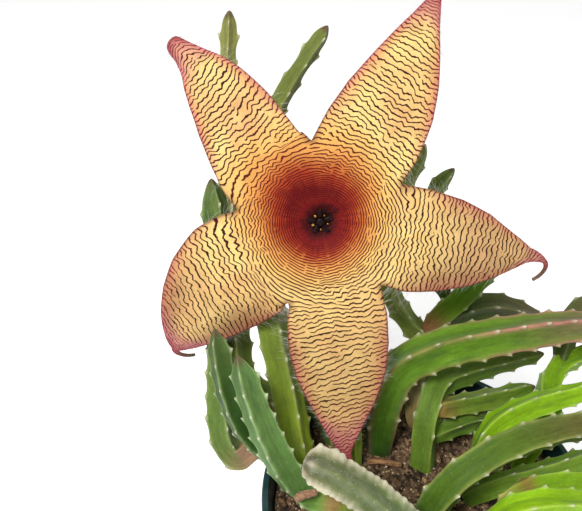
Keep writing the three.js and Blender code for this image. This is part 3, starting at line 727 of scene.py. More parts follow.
def shoot(spec, rooted, seed, marks):
    """Points, faces and colours of one four-ribbed toothed shoot."""
    path, radius, turn, pitch, skin = spec
    blunt = skin == "wool"
    if rooted:
        path = [(path[0][0], path[0][1], path[0][2] - ROOT_DEPTH), *path]
    rng = np.random.default_rng(seed)
    place, direction, side, s, length = stations(path, RING_STEP)
    keep = slice(0 if rooted else 1, -1)
    foot_end = place[:1]
    place, direction, side, s = place[keep], direction[keep], side[keep], s[keep]
    rib = rib_radius(radius, s, length, 1.0 if blunt else 2.4)
    if not rooted:
        rib = rib * np.sqrt(1 - (1 - np.minimum(s / (1.3 * radius[0]), 1)) ** 2)
    bare = ROOT_DEPTH + BARE_FOOT if rooted else JOINT_LENGTH
    angles = np.array([q + 90 * c for c in range(4) for q in QUARTER])
    from_rib = np.abs((angles + 45) % 90 - 45)  # 0 on a rib, 45 in the hollow between two
    which = np.round(angles / 90).astype(int) % 4
    a = np.radians(from_rib)
    soft = np.sqrt(a**2 + 0.08**2) - 0.04
    section = 0.7071 / np.cos(np.pi / 4 - soft) * (1 - 0.15 * np.sin(np.minimum(2 * a, np.pi / 2)))
    # shoots are rounder where they leave the soil or another stem
    rounder = 0.75 * (1 - rise(s, ROOT_DEPTH if rooted else 0, 22))[:, None]
    section = section[None, :] * (1 - rounder) + 0.8 * rounder
    theta = np.radians(turn + angles)
    ray = rays(side, np.cross(direction, side), theta)
    if blunt:
        # its side towards the photo is smoother and greener, up to near its end
        near_end = rise(s, length - 9, 8)[:, None]
        front = rise(ray @ WOOLLY_FRONT, 0.35, 0.4) * (1 - near_end)
        tooth = knobs(s, length, bare, from_rib, which, rng) * (1.5 - 1.3 * front)
        point = np.zeros_like(tooth)
    else:
        front = 0
        tooth, point = teeth(s, length, bare, pitch, radius[2], from_rib, which, rng)
    out = rib[:, None] * section + TOOTH_HEIGHT * (0.55 * tooth + 0.62 * point)
    grid = place[:, None, :] + ray * out[..., None]
    uneven = 0.35 * NOISE.at(grid + seed * 7.3, 11) + 0.16 * NOISE.at(grid + seed * 3.1, 4)
    if blunt:
        head = (0.35 + 0.65 * rise(s, length - 34, 24))[:, None]
        uneven = uneven + head * (0.9 * NOISE.at(grid, 2.7) + 0.35 * NOISE.at(grid + 30, 1.3))
    grid = grid + ray * (uneven * smooth(rib / 4)[:, None])[..., None]
    # pushed a little towards the tip, so that the teeth lean forwards
    grid = grid + direction[:, None, :] * (1.1 * point)[..., None]
    points = np.concatenate(
        [grid.reshape(-1, 3), foot_end, [place[-1] + direction[-1] * RING_STEP * 0.6]]
    )
    quads, triangles = tube_faces(len(s), len(angles))

    foot, middle, tip, lit, lit_share, lit_from, rib_colour, rib_share = SKINS[skin]
    share = (s / length)[:, None] * np.ones_like(tooth)
    tone = blend(blend(foot, middle, smooth(share / 0.4)), tip, rise(share, 0.5, 0.5))
    upward = ray[..., 2] * 0.8 - ray[..., 1] * 0.35 + 0.25 * NOISE.at(grid + 50, 16)
    tone = blend(tone, lit, lit_share * rise(upward, 0.1, 0.5) * rise(share, lit_from, 0.3))
    # painted shade: the skin is darker in the hollows between the ribs
    hollow_shade = rise(from_rib, 20, 25)[None, :]
    tone = tone * (1 - 0.16 * hollow_shade[..., None])
    ribness = bell(from_rib, 8.0 if skin == "arching" else 5.5)
    edge = np.clip(ribness[None, :] * (0.75 + 0.25 * NOISE.at(grid + 90, 5)), 0, 1)
    strength = rib_share * (0.35 + 0.65 * rise(share, 0.4, 0.2) if skin == "arching" else 1)
    strength = strength * (1 - 0.9 * front)
    tone = blend(tone, rib_colour, np.clip(edge * strength, 0, 1) * smooth(rib / 3)[:, None])
    tone = blend(tone, (230, 226, 196), np.clip(1.3 * point**1.5, 0, 1))
    if blunt:
        raised = np.clip(0.8 * tooth + 0.3 * NOISE.at(grid, 2.7), 0, 1) * (1 - 0.7 * front)
        tone = blend(tone, (222, 214, 184), raised * (0.4 + 0.6 * share))
    for at, width, colour in marks:
        tone = blend(tone, colour, 0.8 * bell(s - at, width)[:, None])
    dry = fall((length - s)[:, None] - 2 * NOISE.at(grid, 3), 6.5, 5) * (0.4 if blunt else 0.75)
    tone = blend(tone, (98, 74, 56), dry)
    # a grain that runs along the shoot, for fine streaks
    far = (0.13 * s[:, None] + 31 * seed) * np.ones_like(out)
    grain = np.stack([out * np.cos(theta), out * np.sin(theta), far], -1)
    tone = np.concatenate([tone, grain], -1)
    ends = np.concatenate([tone[0, :1], tone[-1, :1]])
    return points, quads, triangles, np.concatenate([tone.reshape(-1, 6), ends])


def skin_shader(name, roughness, sheen, speck, mottle=0.16, relief=0.25, streaks=0.0):
    """Succulent skin: mottled, finely downy, with pale specks and faint streaks along the shoot."""
    sh = Shader(name, roughness, 0.16, sheen)
    sh.skin.inputs["Sheen Roughness"].default_value = 0.4
    broad = sh.even(sh.noise(90, 4), 0.3, 0.7, 1 - mottle, 1 + mottle)
    fine = sh.even(sh.noise(900, 3, 0.7), 0.3, 0.7, 0.93, 1.07)
    tone = sh.shade(sh.attribute("tone", "Color"), sh.times(broad, fine))
    if streaks:
        streak = sh.noise(0.75, 4, 0.62, along="grain")
        tone = sh.shade(tone, sh.even(streak, 0.32, 0.68, 1 - streaks, 1 + streaks))
        bluish = sh.range(sh.noise(0.28, 2, 0.5, along="grain"), 0.5, 0.72)
        tone = sh.mix(sh.times(bluish, 0.3), tone, (58, 96, 58))
    dots = sh.range(sh.cells(620), 0.16, 0.3, 1.0, 0.0)
    some = sh.range(sh.noise(210, 2), 0.48, 0.6)
    tone = sh.mix(sh.times(sh.times(dots, some), speck), tone, (222, 226, 190))
    height = sh.add(sh.noise(1500, 4, 0.7), sh.times(sh.noise(330, 3), 1.4))
    return sh.finish(tone, height, relief)


def build_stems():
    green = skin_shader("succulent_skin", 0.5, 0.05, 0.07, 0.13, 0.3, 0.17)
    woolly = skin_shader("woolly_skin", 0.85, 0.3, 0.4, 0.2, 0.6)
    for number, (node, shoots) in enumerate(STEMS.items()):
        blunt = node == "stem_woolly"
        skin = (woolly, "stem_woolly_skin") if blunt else (green, "stem_green")
        made = [
            shoot(spec, k == 0, 11 * number + k + 1, MARKS.get((node, k), []))
            for k, spec in enumerate(shoots)
        ]
        points, quads, triangles, tone = joined(made)
        mesh = mesh_of(node + "_skin", points, quads, triangles)
        give(mesh, tone=tone[:, :3], grain=tone[:, 3:])
        piece(node + "_skin", mesh, *skin, node)


# The flower


def given(values, s, first=0.0):
    return np.interp(s, [FLAT_TO, *LOBE_AT], [first, *values])


def lobe_line(lobe):
    """Place, direction and swing of a lobe's middle line at every millimetre."""
    s = np.arange(0, LOBE_AT[-1] + 2, 1.0)
    bend = np.radians(given(lobe["bend"], s))
    swing = np.radians(given(lobe["swing"], s))
    forward = np.column_stack(
        [np.cos(bend) * np.cos(swing), np.cos(bend) * np.sin(swing), -np.sin(bend)]
    )
    place = np.concatenate([[[0, 0, 0]], np.cumsum(forward, axis=0)[:-1]])
    return s, place, forward, swing


def opening(lobe, last, side):
    """Half of a lobe's opening angle and its notch distance, on the side that the sign gives."""
    half = np.radians(np.where(side > 0, lobe["next"], lobe["last"]))
    return half, np.where(side > 0, lobe["notch"], last["notch"])


def width_at(lobe, last, t, past, side):
    """Half width of a lobe, and the angle by which its rows of points turn back at the edge."""
    half, notch = opening(lobe, last, side)
    joint = notch * np.sin(half)
    shaped = joint + (given(lobe["wide"], t) - joint) * smooth(past / 14)
    return np.where(past <= 0, t * np.sin(half), shaped), half * (1 - 0.9 * smooth(past / 45))


def lobe_points(index, reach, w, depth, line):
    """Points of a lobe, in the flower's frame, and where they lie on the flat uncurled flower."""
    lobe, last = LOBES[index], LOBES[index - 1]
    _, notch = opening(lobe, last, w)
    past = reach - NOTCH_RADIUS
    stretch = (notch / NOTCH_RADIUS - 1) * np.abs(w)
    t = reach * (1 + stretch * (1 - smooth(past / 40)))
    wide, spread = width_at(lobe, last, t, past, w)
    across = np.sign(w) * wide * np.sin(np.abs(w) * spread) / np.sin(spread)
    s = t - wide * (1 - np.cos(w * spread)) / np.sin(spread)
    at, place, forward, swing = line
    place, forward = (
        np.stack([np.interp(s, at, v[:, k]) for k in range(3)], -1) for v in (place, forward)
    )
    forward = unit(forward)
    swing = np.interp(s, at, swing)
    side = np.stack([-np.sin(swing), np.cos(swing), np.zeros_like(swing)], -1)
    roll = (math.radians(lobe["roll"]) * rise(s, NOTCH_RADIUS, 80))[..., None]
    lean = forward * (side * forward).sum(-1, keepdims=True) * (1 - np.cos(roll))
    side = side * np.cos(roll) + np.cross(forward, side) * np.sin(roll) + lean
    out = np.cross(forward, side)
    arch = math.radians(lobe["curl"]) / 20 * rise(s, FLAT_TO, 50)
    turn_by = arch * across
    bent = np.abs(turn_by) > 1e-6
    safe = np.where(bent, arch, 1)
    sideways = np.where(bent, np.sin(turn_by) / safe, across)
    backwards = np.where(bent, (1 - np.cos(turn_by)) / safe, 0)
    point = place + side * sideways[..., None] - out * backwards[..., None]
    if lobe["axis"] == ROUNDED_LOBE:
        # the fold of this lobe's tip is drawn back at its sides, so that it comes out round
        drawn = 0.085 * np.minimum(across**2, 42) * rise(s, 97, 17)
        point = point - np.stack([np.cos(swing), np.sin(swing), 0 * swing], -1) * drawn[..., None]
    point[..., 2] -= CUP_DEPTH * (1 - smooth(np.hypot(s, across) / CUP_RADIUS))
    point = point - out * np.asarray(depth)[..., None]
    point[..., 0], point[..., 1] = spun(point[..., 0], point[..., 1], lobe["axis"])
    return point, np.stack(spun(s, across, lobe["axis"]), -1)


def to_part(points):
    """From the flower's frame (x right, y up its face, z out of it) into the part's frame."""
    x, y, z = np.moveaxis(points, -1, 0)
    y, z = spun(y, z, 90 - LEAN_BACK)
    return np.stack([x, y, z], -1) + FLOWER_CENTRE


def sampled(images, flat):
    """The values of images of the flat flower at places on it."""
    x, y = np.moveaxis(np.clip(flat / CELL + GRID / 2, 0, GRID - 1.001), -1, 0)
    i, j = y.astype(int), x.astype(int)
    fy, fx = y - i, x - j
    return [
        image[i, j] * (1 - fy) * (1 - fx) + image[i, j + 1] * (1 - fy) * fx
        + image[i + 1, j] * fy * (1 - fx) + image[i + 1, j + 1] * fy * fx
        for image in images
    ]


def flat_star():
    """For each cell of the flat flower: direction across the stripes, distance out, share of the
    way to the margin, spacing factor, and whether it is on the flower or close to it."""
    step = (np.arange(GRID) - GRID / 2) * CELL
    x, y = np.meshgrid(step, step)
    bearing = np.degrees(np.arctan2(y, x)) % 360
    heading, reach, margin, coarse = np.zeros((4, GRID, GRID))
    inside = np.zeros((GRID, GRID), bool)
    for index, lobe in enumerate(LOBES):
        off = (bearing - lobe["axis"] + 180) % 360 - 180
        mine = (off <= lobe["next"]) & (off > -lobe["last"])
        s, across = spun(x, y, -lobe["axis"])
        t = np.hypot(s, across)
        for _ in range(10):
            wide, spread = width_at(lobe, LOBES[index - 1], t, t - NOTCH_RADIUS, across)
            ratio = np.clip(np.abs(across) * np.sin(spread) / np.maximum(wide, 0.1), 0, 1)
            t = 0.5 * t + 0.5 * (s + wide * (1 - np.sqrt(1 - ratio**2)) / np.sin(spread))
        gy, gx = np.gradient(t)
        outward = np.arctan2(gy, gx)
        side = across / np.maximum(wide, 0.1)
        fan = np.clip(side, -1, 1) * given(lobe["fan"], t)
        turn = np.radians(lobe["axis"] + given(lobe["turn"], t) + fan)
        share = rise(t, 38, 24)
        direction = np.arctan2(
            (1 - share) * np.sin(outward) + share * np.sin(turn),
            (1 - share) * np.cos(outward) + share * np.cos(turn),
        )
        heading = np.where(mine, direction, heading)
        reach = np.where(mine, t, reach)
        margin = np.where(mine, np.clip(np.abs(side), 0, 2), margin)
        inside |= mine & (np.abs(across) < wide + 4) & (t < 158)
        coarse = np.where(mine, 1 + (lobe["gap"] - 1) * rise(t, 44, 16), coarse)
    flat = np.stack([x, y, np.zeros_like(x)], -1)
    heading = heading + 0.38 * NOISE.at(flat + 31, 8) * rise(reach, 28, 24)
    return heading, reach, margin, coarse, inside


def stripe_field():
    """Images of the flower's stripes, grown from noise: the noise is smoothed along the stripes and
    sifted for their spacing across them, over and over, until it settles into lines that part and
    end. The images are the wave's crests and flanks, its power, spacing and pace, and the cosine
    and sine of its heading."""
    heading, reach, margin, coarse, inside = flat_star()
    spacing = np.interp(reach, SPACING_AT, SPACING) * np.maximum(coarse, 0.5)
    spacing = spacing * (1 - 0.22 * rise(margin, 0.72, 0.25) * rise(reach, 50, 20))
    where = np.argwhere(inside)[:, ::-1].astype(float)
    h, period = heading[inside], spacing[inside] / CELL
    normal = np.stack([np.cos(h), np.sin(h)], -1)
    tangent = np.stack([-np.sin(h), np.cos(h)], -1)

    def taps(offsets, weights, vector, scale):
        """Where a filter reads the image for every cell inside, and with which weights."""
        made = []
        for offset, weight in zip(offsets, weights):
            at = np.clip(where + vector * (offset * scale)[:, None], 0, GRID - 1.001)
            j, i = at[:, 0].astype(int), at[:, 1].astype(int)
            fx, fy = (at[:, 0] - j).astype(np.float32), (at[:, 1] - i).astype(np.float32)
            made.append((i * GRID + j, fx, fy, weight))
        return made

    def apply(image, kernel):
        flatly, total = image.ravel(), 0
        for base, fx, fy, weight in kernel:
            low = flatly[base] * (1 - fx) + flatly[base + 1] * fx
            high = flatly[base + GRID] * (1 - fx) + flatly[base + GRID + 1] * fx
            total = total + weight * (low * (1 - fy) + high * fy)
        return total

    def spread(values, outside=0.0, kind=float):
        image = np.full((GRID, GRID), outside, kind)
        image[inside] = values
        return image

    k = np.arange(-3, 4)
    along = taps(k, np.exp(-0.5 * (k / 1.9) ** 2), tangent, period * 0.34)
    k = np.arange(-8, 9)
    hump = np.exp(-0.5 * (k / 4.2) ** 2)
    even = np.cos(2 * np.pi * k / 8) * hump
    even = even - hump * even.sum() / hump.sum()
    odd = np.sin(2 * np.pi * k / 8) * hump
    band, quarter = taps(k, even, normal, period / 8), taps(k, odd, normal, period / 8)
    rng = np.random.default_rng(20)
    image = rng.standard_normal((GRID, GRID)).astype(np.float32)
    for turn in range(8):
        for kernel in (along, band):
            image = spread(apply(image, kernel), kind=image.dtype)
        image = np.tanh(2.2 * image / image[inside].std())
        if turn < 5:
            image = image + 0.3 * rng.standard_normal((GRID, GRID)).astype(np.float32)
    image = spread(apply(image, along), kind=image.dtype)
    real, imaginary = apply(image, band), apply(image, quarter)
    size = np.hypot(real, imaginary)
    crest = spread(real / np.maximum(size, 1e-9), -1.0)
    flank = spread(imaginary / np.maximum(size, 1e-9))
    power = spread(size / np.median(size))
    # how fast the wave really runs against how fast it should
    wave = crest + 1j * flank
    pace = np.hypot(
        *(np.angle(np.roll(wave, -1, axis) * np.conj(np.roll(wave, 1, axis))) for axis in (0, 1))
    )
    pace = np.clip(pace / 2 * spacing / CELL / (2 * np.pi), 0, 1.15)
    for axis in (0, 1):
        pace = sum(np.roll(pace, k, axis) for k in range(-2, 3)) / 5
    return crest, flank, power, spacing, pace, np.cos(heading), np.sin(heading)


def lobe_face(index, rows, line, field):
    """Points of a lobe's face, with its two colours and what the shader needs for its stripes."""
    lobe = LOBES[index]
    w = np.linspace(-1, 1, FACE_COLUMNS + 1)
    w = np.sign(w) * (1 - (1 - np.abs(w)) ** 1.15)
    reach, across = np.meshgrid(rows, w, indexing="ij")
    place, flat = lobe_points(index, reach, across, 0.0, line)
    crest, flank, power, gap, pace, heading_x, heading_y = sampled(field, flat)
    width = np.interp(reach, LINE_AT, LINE_WIDTH) * (1 + (lobe["line"] - 1) * rise(reach, 46, 14))
    speed = 1 + (pace - 1) * rise(reach, 20, 8)
    threshold = np.cos(np.pi * np.clip(width / gap * speed, 0, 0.55))
    threshold = threshold + 0.9 * fall(power, 0.6, 0.3) + 1.6 * fall(reach, 15, 4)
    # the crest of each stripe stands a little proud of the face
    proud = 0.16 * rise(crest - threshold, -0.6, 0.7) * rise(reach, 14, 14) - 0.08
    out = unit(np.cross(np.gradient(place, axis=0), np.gradient(place, axis=1)))
    crumple = 0.35 * NOISE.at(place + index * 40, 13) * rise(reach, 50, 30)
    inward = fall(np.abs(across), 1, 0.06)
    place = place + out * ((proud + crumple) * inward)[..., None]
    # distances along and across the stripes, which the kinks follow; they fade where it is askew
    tilt = lobe["axis"] + np.mean(lobe["turn"][1:5])
    ahead, aside = spun(flat[..., 0], flat[..., 1], -tilt)
    square, _ = spun(heading_x, heading_y, -tilt)
    shaken = 2 * np.pi / gap * speed * rise(reach, 18, 20)
    shaken = shaken * np.maximum(inward, rise(reach, 47, 5))
    shaken = shaken * (0.25 + 0.75 * rise(np.abs(square), 0.72, 0.22))
    waves = [crest, flank, threshold, aside, 0.34 * ahead, np.full_like(ahead, 40.0 * index)]
    tone = ground_colour(index, reach, np.abs(across), place, flat)
    ink = line_colour(reach, np.abs(across), flat)
    rest = np.stack([*waves, shaken, np.ones_like(reach)], -1)
    return place, np.concatenate([tone, ink, rest], -1)


def lobe_back(index, rows, line):
    """The same for its back, which is pale and has faint veins."""
    reach, across = np.meshgrid(rows, np.linspace(-1, 1, BACK_COLUMNS + 1), indexing="ij")
    edge = rise(np.abs(across), 0.5, 0.5) * rise(reach, 40, 20)
    thick = THICKNESS + (EDGE_THICKNESS - THICKNESS) * edge
    place, _ = lobe_points(index, reach, across, thick, line)
    veins = 0.5 + 0.5 * np.cos(across * 6 * np.pi)
    tone = layered(
        blend(BACK_CREAM, BACK_RED, rise(reach, 105, 40)),
        ((178, 150, 96), 0.25 * veins * rise(reach, 30, 40)),
        ((150, 160, 92), 0.6 * fall(reach, 26, 20)),
    )
    rest = np.zeros((*reach.shape, 8))
    rest[..., 0] = -1
    return place, np.concatenate([tone, tone, rest], -1)


def lobe_faces(rows, closed):
    """Quads and triangles of a lobe: face, back, ends, and its margins beyond the closed rows."""
    face = np.arange(rows * (FACE_COLUMNS + 1)).reshape(rows, -1)
    back = face.size + np.arange(rows * (BACK_COLUMNS + 1)).reshape(rows, -1)
    front_edges, back_edges = face[closed:], back[closed:]
    quads = [
        (face[:-1, :-1], face[1:, :-1], face[1:, 1:], face[:-1, 1:]),
        (back[:-1, :-1], back[:-1, 1:], back[1:, 1:], back[1:, :-1]),
        (front_edges[:-1, 0], back_edges[:-1, 0], back_edges[1:, 0], front_edges[1:, 0]),
        (front_edges[:-1, -1], front_edges[1:, -1], back_edges[1:, -1], back_edges[:-1, -1]),
    ]
    quads = np.concatenate([np.stack(corners, -1).reshape(-1, 4) for corners in quads])
    triangles = []
    ratio = FACE_COLUMNS // BACK_COLUMNS
    for row, order in ((0, 1), (-1, -1)):
        for j in range(BACK_COLUMNS):
            f, b = face[row, j * ratio :], back[row, j:]
            fan = [(f[k], f[k + 1], b[int(k >= ratio // 2)]) for k in range(ratio)]
            triangles += [t[::order] for t in (*fan, (f[ratio // 2], b[1], b[0]))]
    return quads, np.array(triangles)


def build_corolla():
    inner = np.concatenate([np.arange(HOLE_RADIUS, 13, 0.9), np.arange(13, NOTCH_RADIUS, 0.34)])
    rows = np.concatenate([inner, np.linspace(NOTCH_RADIUS, REACH_END, 196)])
    faces = lobe_faces(len(rows), len(inner))
    field = stripe_field()
    parts = []
    for index, lobe in enumerate(LOBES):
        line = lobe_line(lobe)
        sides = lobe_face(index, rows, line, field), lobe_back(index, rows, line)
        points, values = (
            np.concatenate([v.reshape(-1, v.shape[-1]) for v in column]) for column in zip(*sides)
        )
        parts.append((points, *faces, values))
    points, quads, triangles, values = joined(parts)
    # neighbouring lobes share the points of their common edge
    key = np.round(points * 200).astype(np.int64)
    _, chosen, index = np.unique(key, axis=0, return_index=True, return_inverse=True)
    index = index.ravel()
    points, values = points[chosen], values[chosen]
    quads, triangles = index[quads], index[triangles]
    triangles = triangles[[len(set(t)) == 3 for t in triangles.tolist()]]
    mesh = mesh_of("corolla_skin", to_part(points), quads, triangles)
    give(
        mesh, tone=values[:, :3], ink=values[:, 3:6], wave=values[:, 6:9], run=values[:, 9:12],
        shaken=values[:, 12], facing=values[:, 13],
    )
    piece("corolla_skin", mesh, corolla_shader(), "corolla_skin", "corolla")


def corolla_shader():
    sh = Shader("corolla_skin", 0.6, 0.12)
    broad = sh.even(sh.noise(160, 4), 0.3, 0.7, 0.88, 1.08)
    fine = sh.even(sh.noise(1500, 3, 0.7), 0.25, 0.75, 0.84, 1.14)
    tone = sh.shade(sh.attribute("tone", "Color"), sh.times(broad, fine))
    flecks = sh.times(sh.range(sh.noise(2600, 2, 0.6), 0.58, 0.7), sh.attribute("facing"))
    tone = sh.mix(sh.times(flecks, 0.35), tone, (190, 92, 70))
    # the stripes are the crests of a wave, which is pushed to and fro so that they come out kinked
    kinks = sh.even(sh.noise(0.3, 1, 0.4, along="run"), 0.25, 0.75, -KINK, KINK)
    push = sh.times(kinks, sh.attribute("shaken"))
    crest, flank, threshold = sh.node("SeparateXYZ", {0: sh.attribute("wave", "Vector")}).outputs
    moved = sh.math(
        "SUBTRACT", sh.times(crest, sh.math("COSINE", push)), sh.times(flank, sh.math("SINE", push))
    )
    whole = sh.add(sh.math("POWER", crest, 2.0), sh.math("POWER", flank, 2.0))
    wave = sh.math("DIVIDE", moved, sh.math("MAXIMUM", sh.math("SQRT", whole), 0.35))
    rough = sh.even(sh.noise(1100, 2), 0.3, 0.7, -0.08, 0.08)
    # the edge of a line is equally soft where the wave is drawn out
    softness = sh.even(sh.times(threshold, threshold), 0.4, 0.95, 1.0, 0.1)
    above = sh.math("DIVIDE", sh.math("SUBTRACT", wave, threshold), softness)
    line = sh.range(sh.add(above, rough), -0.14, 0.12)
    height = sh.add(sh.noise(1900, 3, 0.7), sh.times(sh.noise(520, 3), 1.5))
    return sh.finish(sh.mix(line, tone, sh.attribute("ink", "Color")), height, 0.22)


def to_middle(reach, flat):
    """Distance from the middle as the rings of colour see it: they reach further up than down, as
    painted shade on the upper side of the cup, which faces away from the light.
    """
    upward = (0.9 * flat[..., 1] - 0.44 * flat[..., 0]) / np.maximum(reach, 1)
    down = np.maximum(-upward, 0) * rise(reach, 13, 9)
    return reach * (1 - 0.35 * np.maximum(upward, 0) * rise(reach, 13, 6) + 0.19 * down)


def ground_colour(index, reach, edge, place, flat):
    """Colour of the face between its stripes."""
    hooked, start = index in HOOKED_LOBES, LOBES[index]["blush"]
    patch = NOISE.at(place + index * 17, 19) + 0.6 * NOISE.at(place + index * 29, 7)
    near_edge = rise(edge, 0.5, 0.5) * rise(reach, 50, 30)
    lower = rise(-flat[..., 1], 4, 30) * rise(reach, 44, 30) * rise(edge, 0.15, 0.6)
    # fine rays round the middle
    outward = 7 * flat / np.maximum(reach, 1)[..., None]
    fine = NOISE.at(np.concatenate([outward, 0.05 * reach[..., None]], -1), 0.3)
    fine = fine * fall(reach, 36, 14) * rise(reach, 5, 5)
    ring = to_middle(reach, flat) + 1.6 * patch + 1.9 * fine
    # painted shade round the feet of the notches between the lobes
    notch = rise(edge, 0.82, 0.16) * fall(reach, 58, 12) * rise(reach, 43, 3)
    return layered(
        blend(PALE_YELLOW, PEACH, np.clip(0.3 + 0.38 * patch, 0, 1)),
        (PEACH, 0.85 * near_edge),
        (PINK, 0.45 * near_edge * rise(edge, 0.78, 0.22)),
        (SHADED, 0.62 * lower * hooked),
        # browning outwards, partly painted shade where the lobe bends back from the light
        (TAN_AND_SHADE, LOBES[index]["tan_and_shade"] * rise(reach, 42, 46)),
        (PINK, 0.75 * rise(reach + 4 * patch + 8 * edge, start, 24)),
        (MAGENTA, 0.8 * rise(reach + 6 * edge, start + 20, 14)),
        ((138, 116, 98), rise(reach, 138, 8) if hooked else rise(reach, 145, 6)),
        *((colour, fall(ring, outside, width)) for colour, outside, width in FACE_RINGS),
        # painted shade at the notches
        ((104, 62, 36), 0.55 * notch),
        ((112, 42, 48), 0.75 * rise(edge, 0.965, 0.02) * rise(reach, 44, 4)),
    )


def line_colour(reach, edge, flat):
    """Colour of the stripes."""
    middle = to_middle(reach, flat)
    return layered(
        blend(LINE_BROWN, LINE_RED, rise(edge, 0.62, 0.35) * rise(reach, 50, 30)),
        (LINE_RED, rise(reach, 104, 28)),
        ((92, 66, 58), rise(reach, 145, 6)),
        *((colour, fall(middle, outside, width)) for colour, outside, width in LINE_RINGS),
    )


def bristles(roots, directions, lengths, seed, droop=0.25, radius=0.055, parts=6):
    """Thin tapering hairs, each a closed little three-sided prism that curves as it goes."""
    sway = unit(np.random.default_rng(seed).normal(size=(len(roots), 3)))[:, None]
    t = np.linspace(0, 1, parts + 1)[None, :, None]
    length = lengths[:, None, None]
    line = roots[:, None] + directions[:, None] * length * t
    line = line + sway * length * 0.22 * t**2 + np.array([0, 0, -droop]) * length * t**2
    along = unit(np.gradient(line, axis=1))
    a = unit(np.cross(along, sway + 0.01))
    b = np.cross(along, a)
    thin = radius * (1 - 0.85 * t)
    points = np.stack([line + (a * np.cos(u) + b * np.sin(u)) * thin for u in circle(3)], 2)
    number = np.arange(points.size // 3).reshape(points.shape[:3])
    after = np.roll(number, -1, axis=2)
    quads = np.stack([number[:, :-1], after[:, :-1], after[:, 1:], number[:, 1:]], -1)
    ends = np.concatenate([number[:, 0, [0, 2, 1]], number[:, -1]])
    return points.reshape(-1, 3), quads.reshape(-1, 4), ends


def build_margin_hairs():
    rng = np.random.default_rng(5)
    hairs = []
    for index, lobe in enumerate(LOBES):
        line = lobe_line(lobe)
        for side in (-1.0, 1.0):
            reach = NOTCH_RADIUS + 3 + (132 - NOTCH_RADIUS) * rng.uniform(0, 1, HAIRS_A_SIDE)
            here, inner, ahead = (
                lobe_points(index, reach + step, np.full(HAIRS_A_SIDE, w), 0.6, line)[0]
                for step, w in ((0, side), (0, side * 0.96), (1, side))
            )
            aim = unit(here - inner)
            aim = aim + unit(ahead - here) * rng.uniform(-0.3, 0.5, (HAIRS_A_SIDE, 1))
            aim = aim + np.array([0, 0, 1.0]) * rng.uniform(-0.7, 0.2, (HAIRS_A_SIDE, 1))
            longest = np.interp(reach, [46, 58, 100, 138], [9, 14, 8, 3])
            length = longest * (0.3 + 0.7 * rng.uniform(0, 1, HAIRS_A_SIDE) ** 1.6)
            hairs.append((here, unit(aim), length))
    roots, directions, lengths = (np.concatenate(column) for column in zip(*hairs))
    roots = to_part(roots)
    directions = unit(to_part(directions) - to_part(np.zeros(3)))
    # those whose tips would leave the solids' box are left out
    tips = roots + directions * 1.3 * lengths[:, None]
    low, high = np.array(CAD_BOX) / MM
    kept = np.all((tips > low) & (tips < high), axis=1)
    mesh = mesh_of("margin_hairs", *bristles(roots[kept], directions[kept], lengths[kept], 6))
    sh = Shader("margin_hairs", 0.6, 0.3)
    colour = sh.mix(sh.range(sh.noise(60), 0.5, 0.7), (238, 234, 228), (190, 150, 158))
    piece("margin_hairs", mesh, sh.finish(colour), "corolla_skin")


def build_crown():
    """The dark crown: a column, five notched tongues, five two-horned inner points, pale tips."""
    foot = -CUP_DEPTH - THICKNESS
    top = foot + 5
    profile = [
        (0, foot + 0.1), (2.0, foot + 0.1), (2.4, foot + 1.1), (2.2, top - 1.4), (2.35, top - 0.6),
        (1.7, top), (0.7, top + 0.15), (0, top + 0.1),
    ]
    dark, pale = [turned(profile, 40)], []
    up = np.array([0, 0, 1.0])
    for i, angle in enumerate(PETAL_ANGLES):
        ahead, side = facing(angle, 0.06)
        axes = [ahead, side, up]
        middle = ahead * 4.2 + up * (1.9 - CUP_DEPTH)
        dark.append(ellipsoid(middle, (2.7, 1.25, 0.6), axes, 12, 16))
        for s in (-1, 1):
            wing = ahead * 5.9 + side * 0.7 * s + up * (2.0 - CUP_DEPTH)
            dark.append(ellipsoid(wing, (1.0, 0.62, 0.5), axes, 8, 12))
        lean = unit(ahead * 0.62 + up * 0.8)
        horn = ahead * 3.0 + up * (top + 0.2)
        dark.append(ellipsoid(horn, (1.6, 0.6, 0.5), [lean, side, np.cross(lean, side)], 10, 12))
        out, beside = facing(angle + math.radians(36))
        size = (0.8, 0.65, 0.45) if i in (1, 2) else (0.5, 0.42, 0.35)
        pale.append(ellipsoid(out * 4.1 + up * (2.3 - CUP_DEPTH), size, [out, beside, up], 8, 10))
    for name, lumps, colours, nodes in (
        ("corona_body", dark, ((14, 3, 5), (34, 8, 9)), ["corona"]),
        ("corona_tips", pale, ((206, 160, 58), (140, 92, 40)), []),
    ):
        points, quads, triangles = joined(lumps)
        mesh = mesh_of(name, to_part(points), quads, triangles)
        sh = Shader(name, 0.5, 0.16)
        colour = sh.mix(sh.range(sh.noise(900, 3), 0.35, 0.65), *colours)
        piece(name, mesh, sh.finish(colour, sh.noise(1400, 3), 0.1), "corona_skin", *nodes)


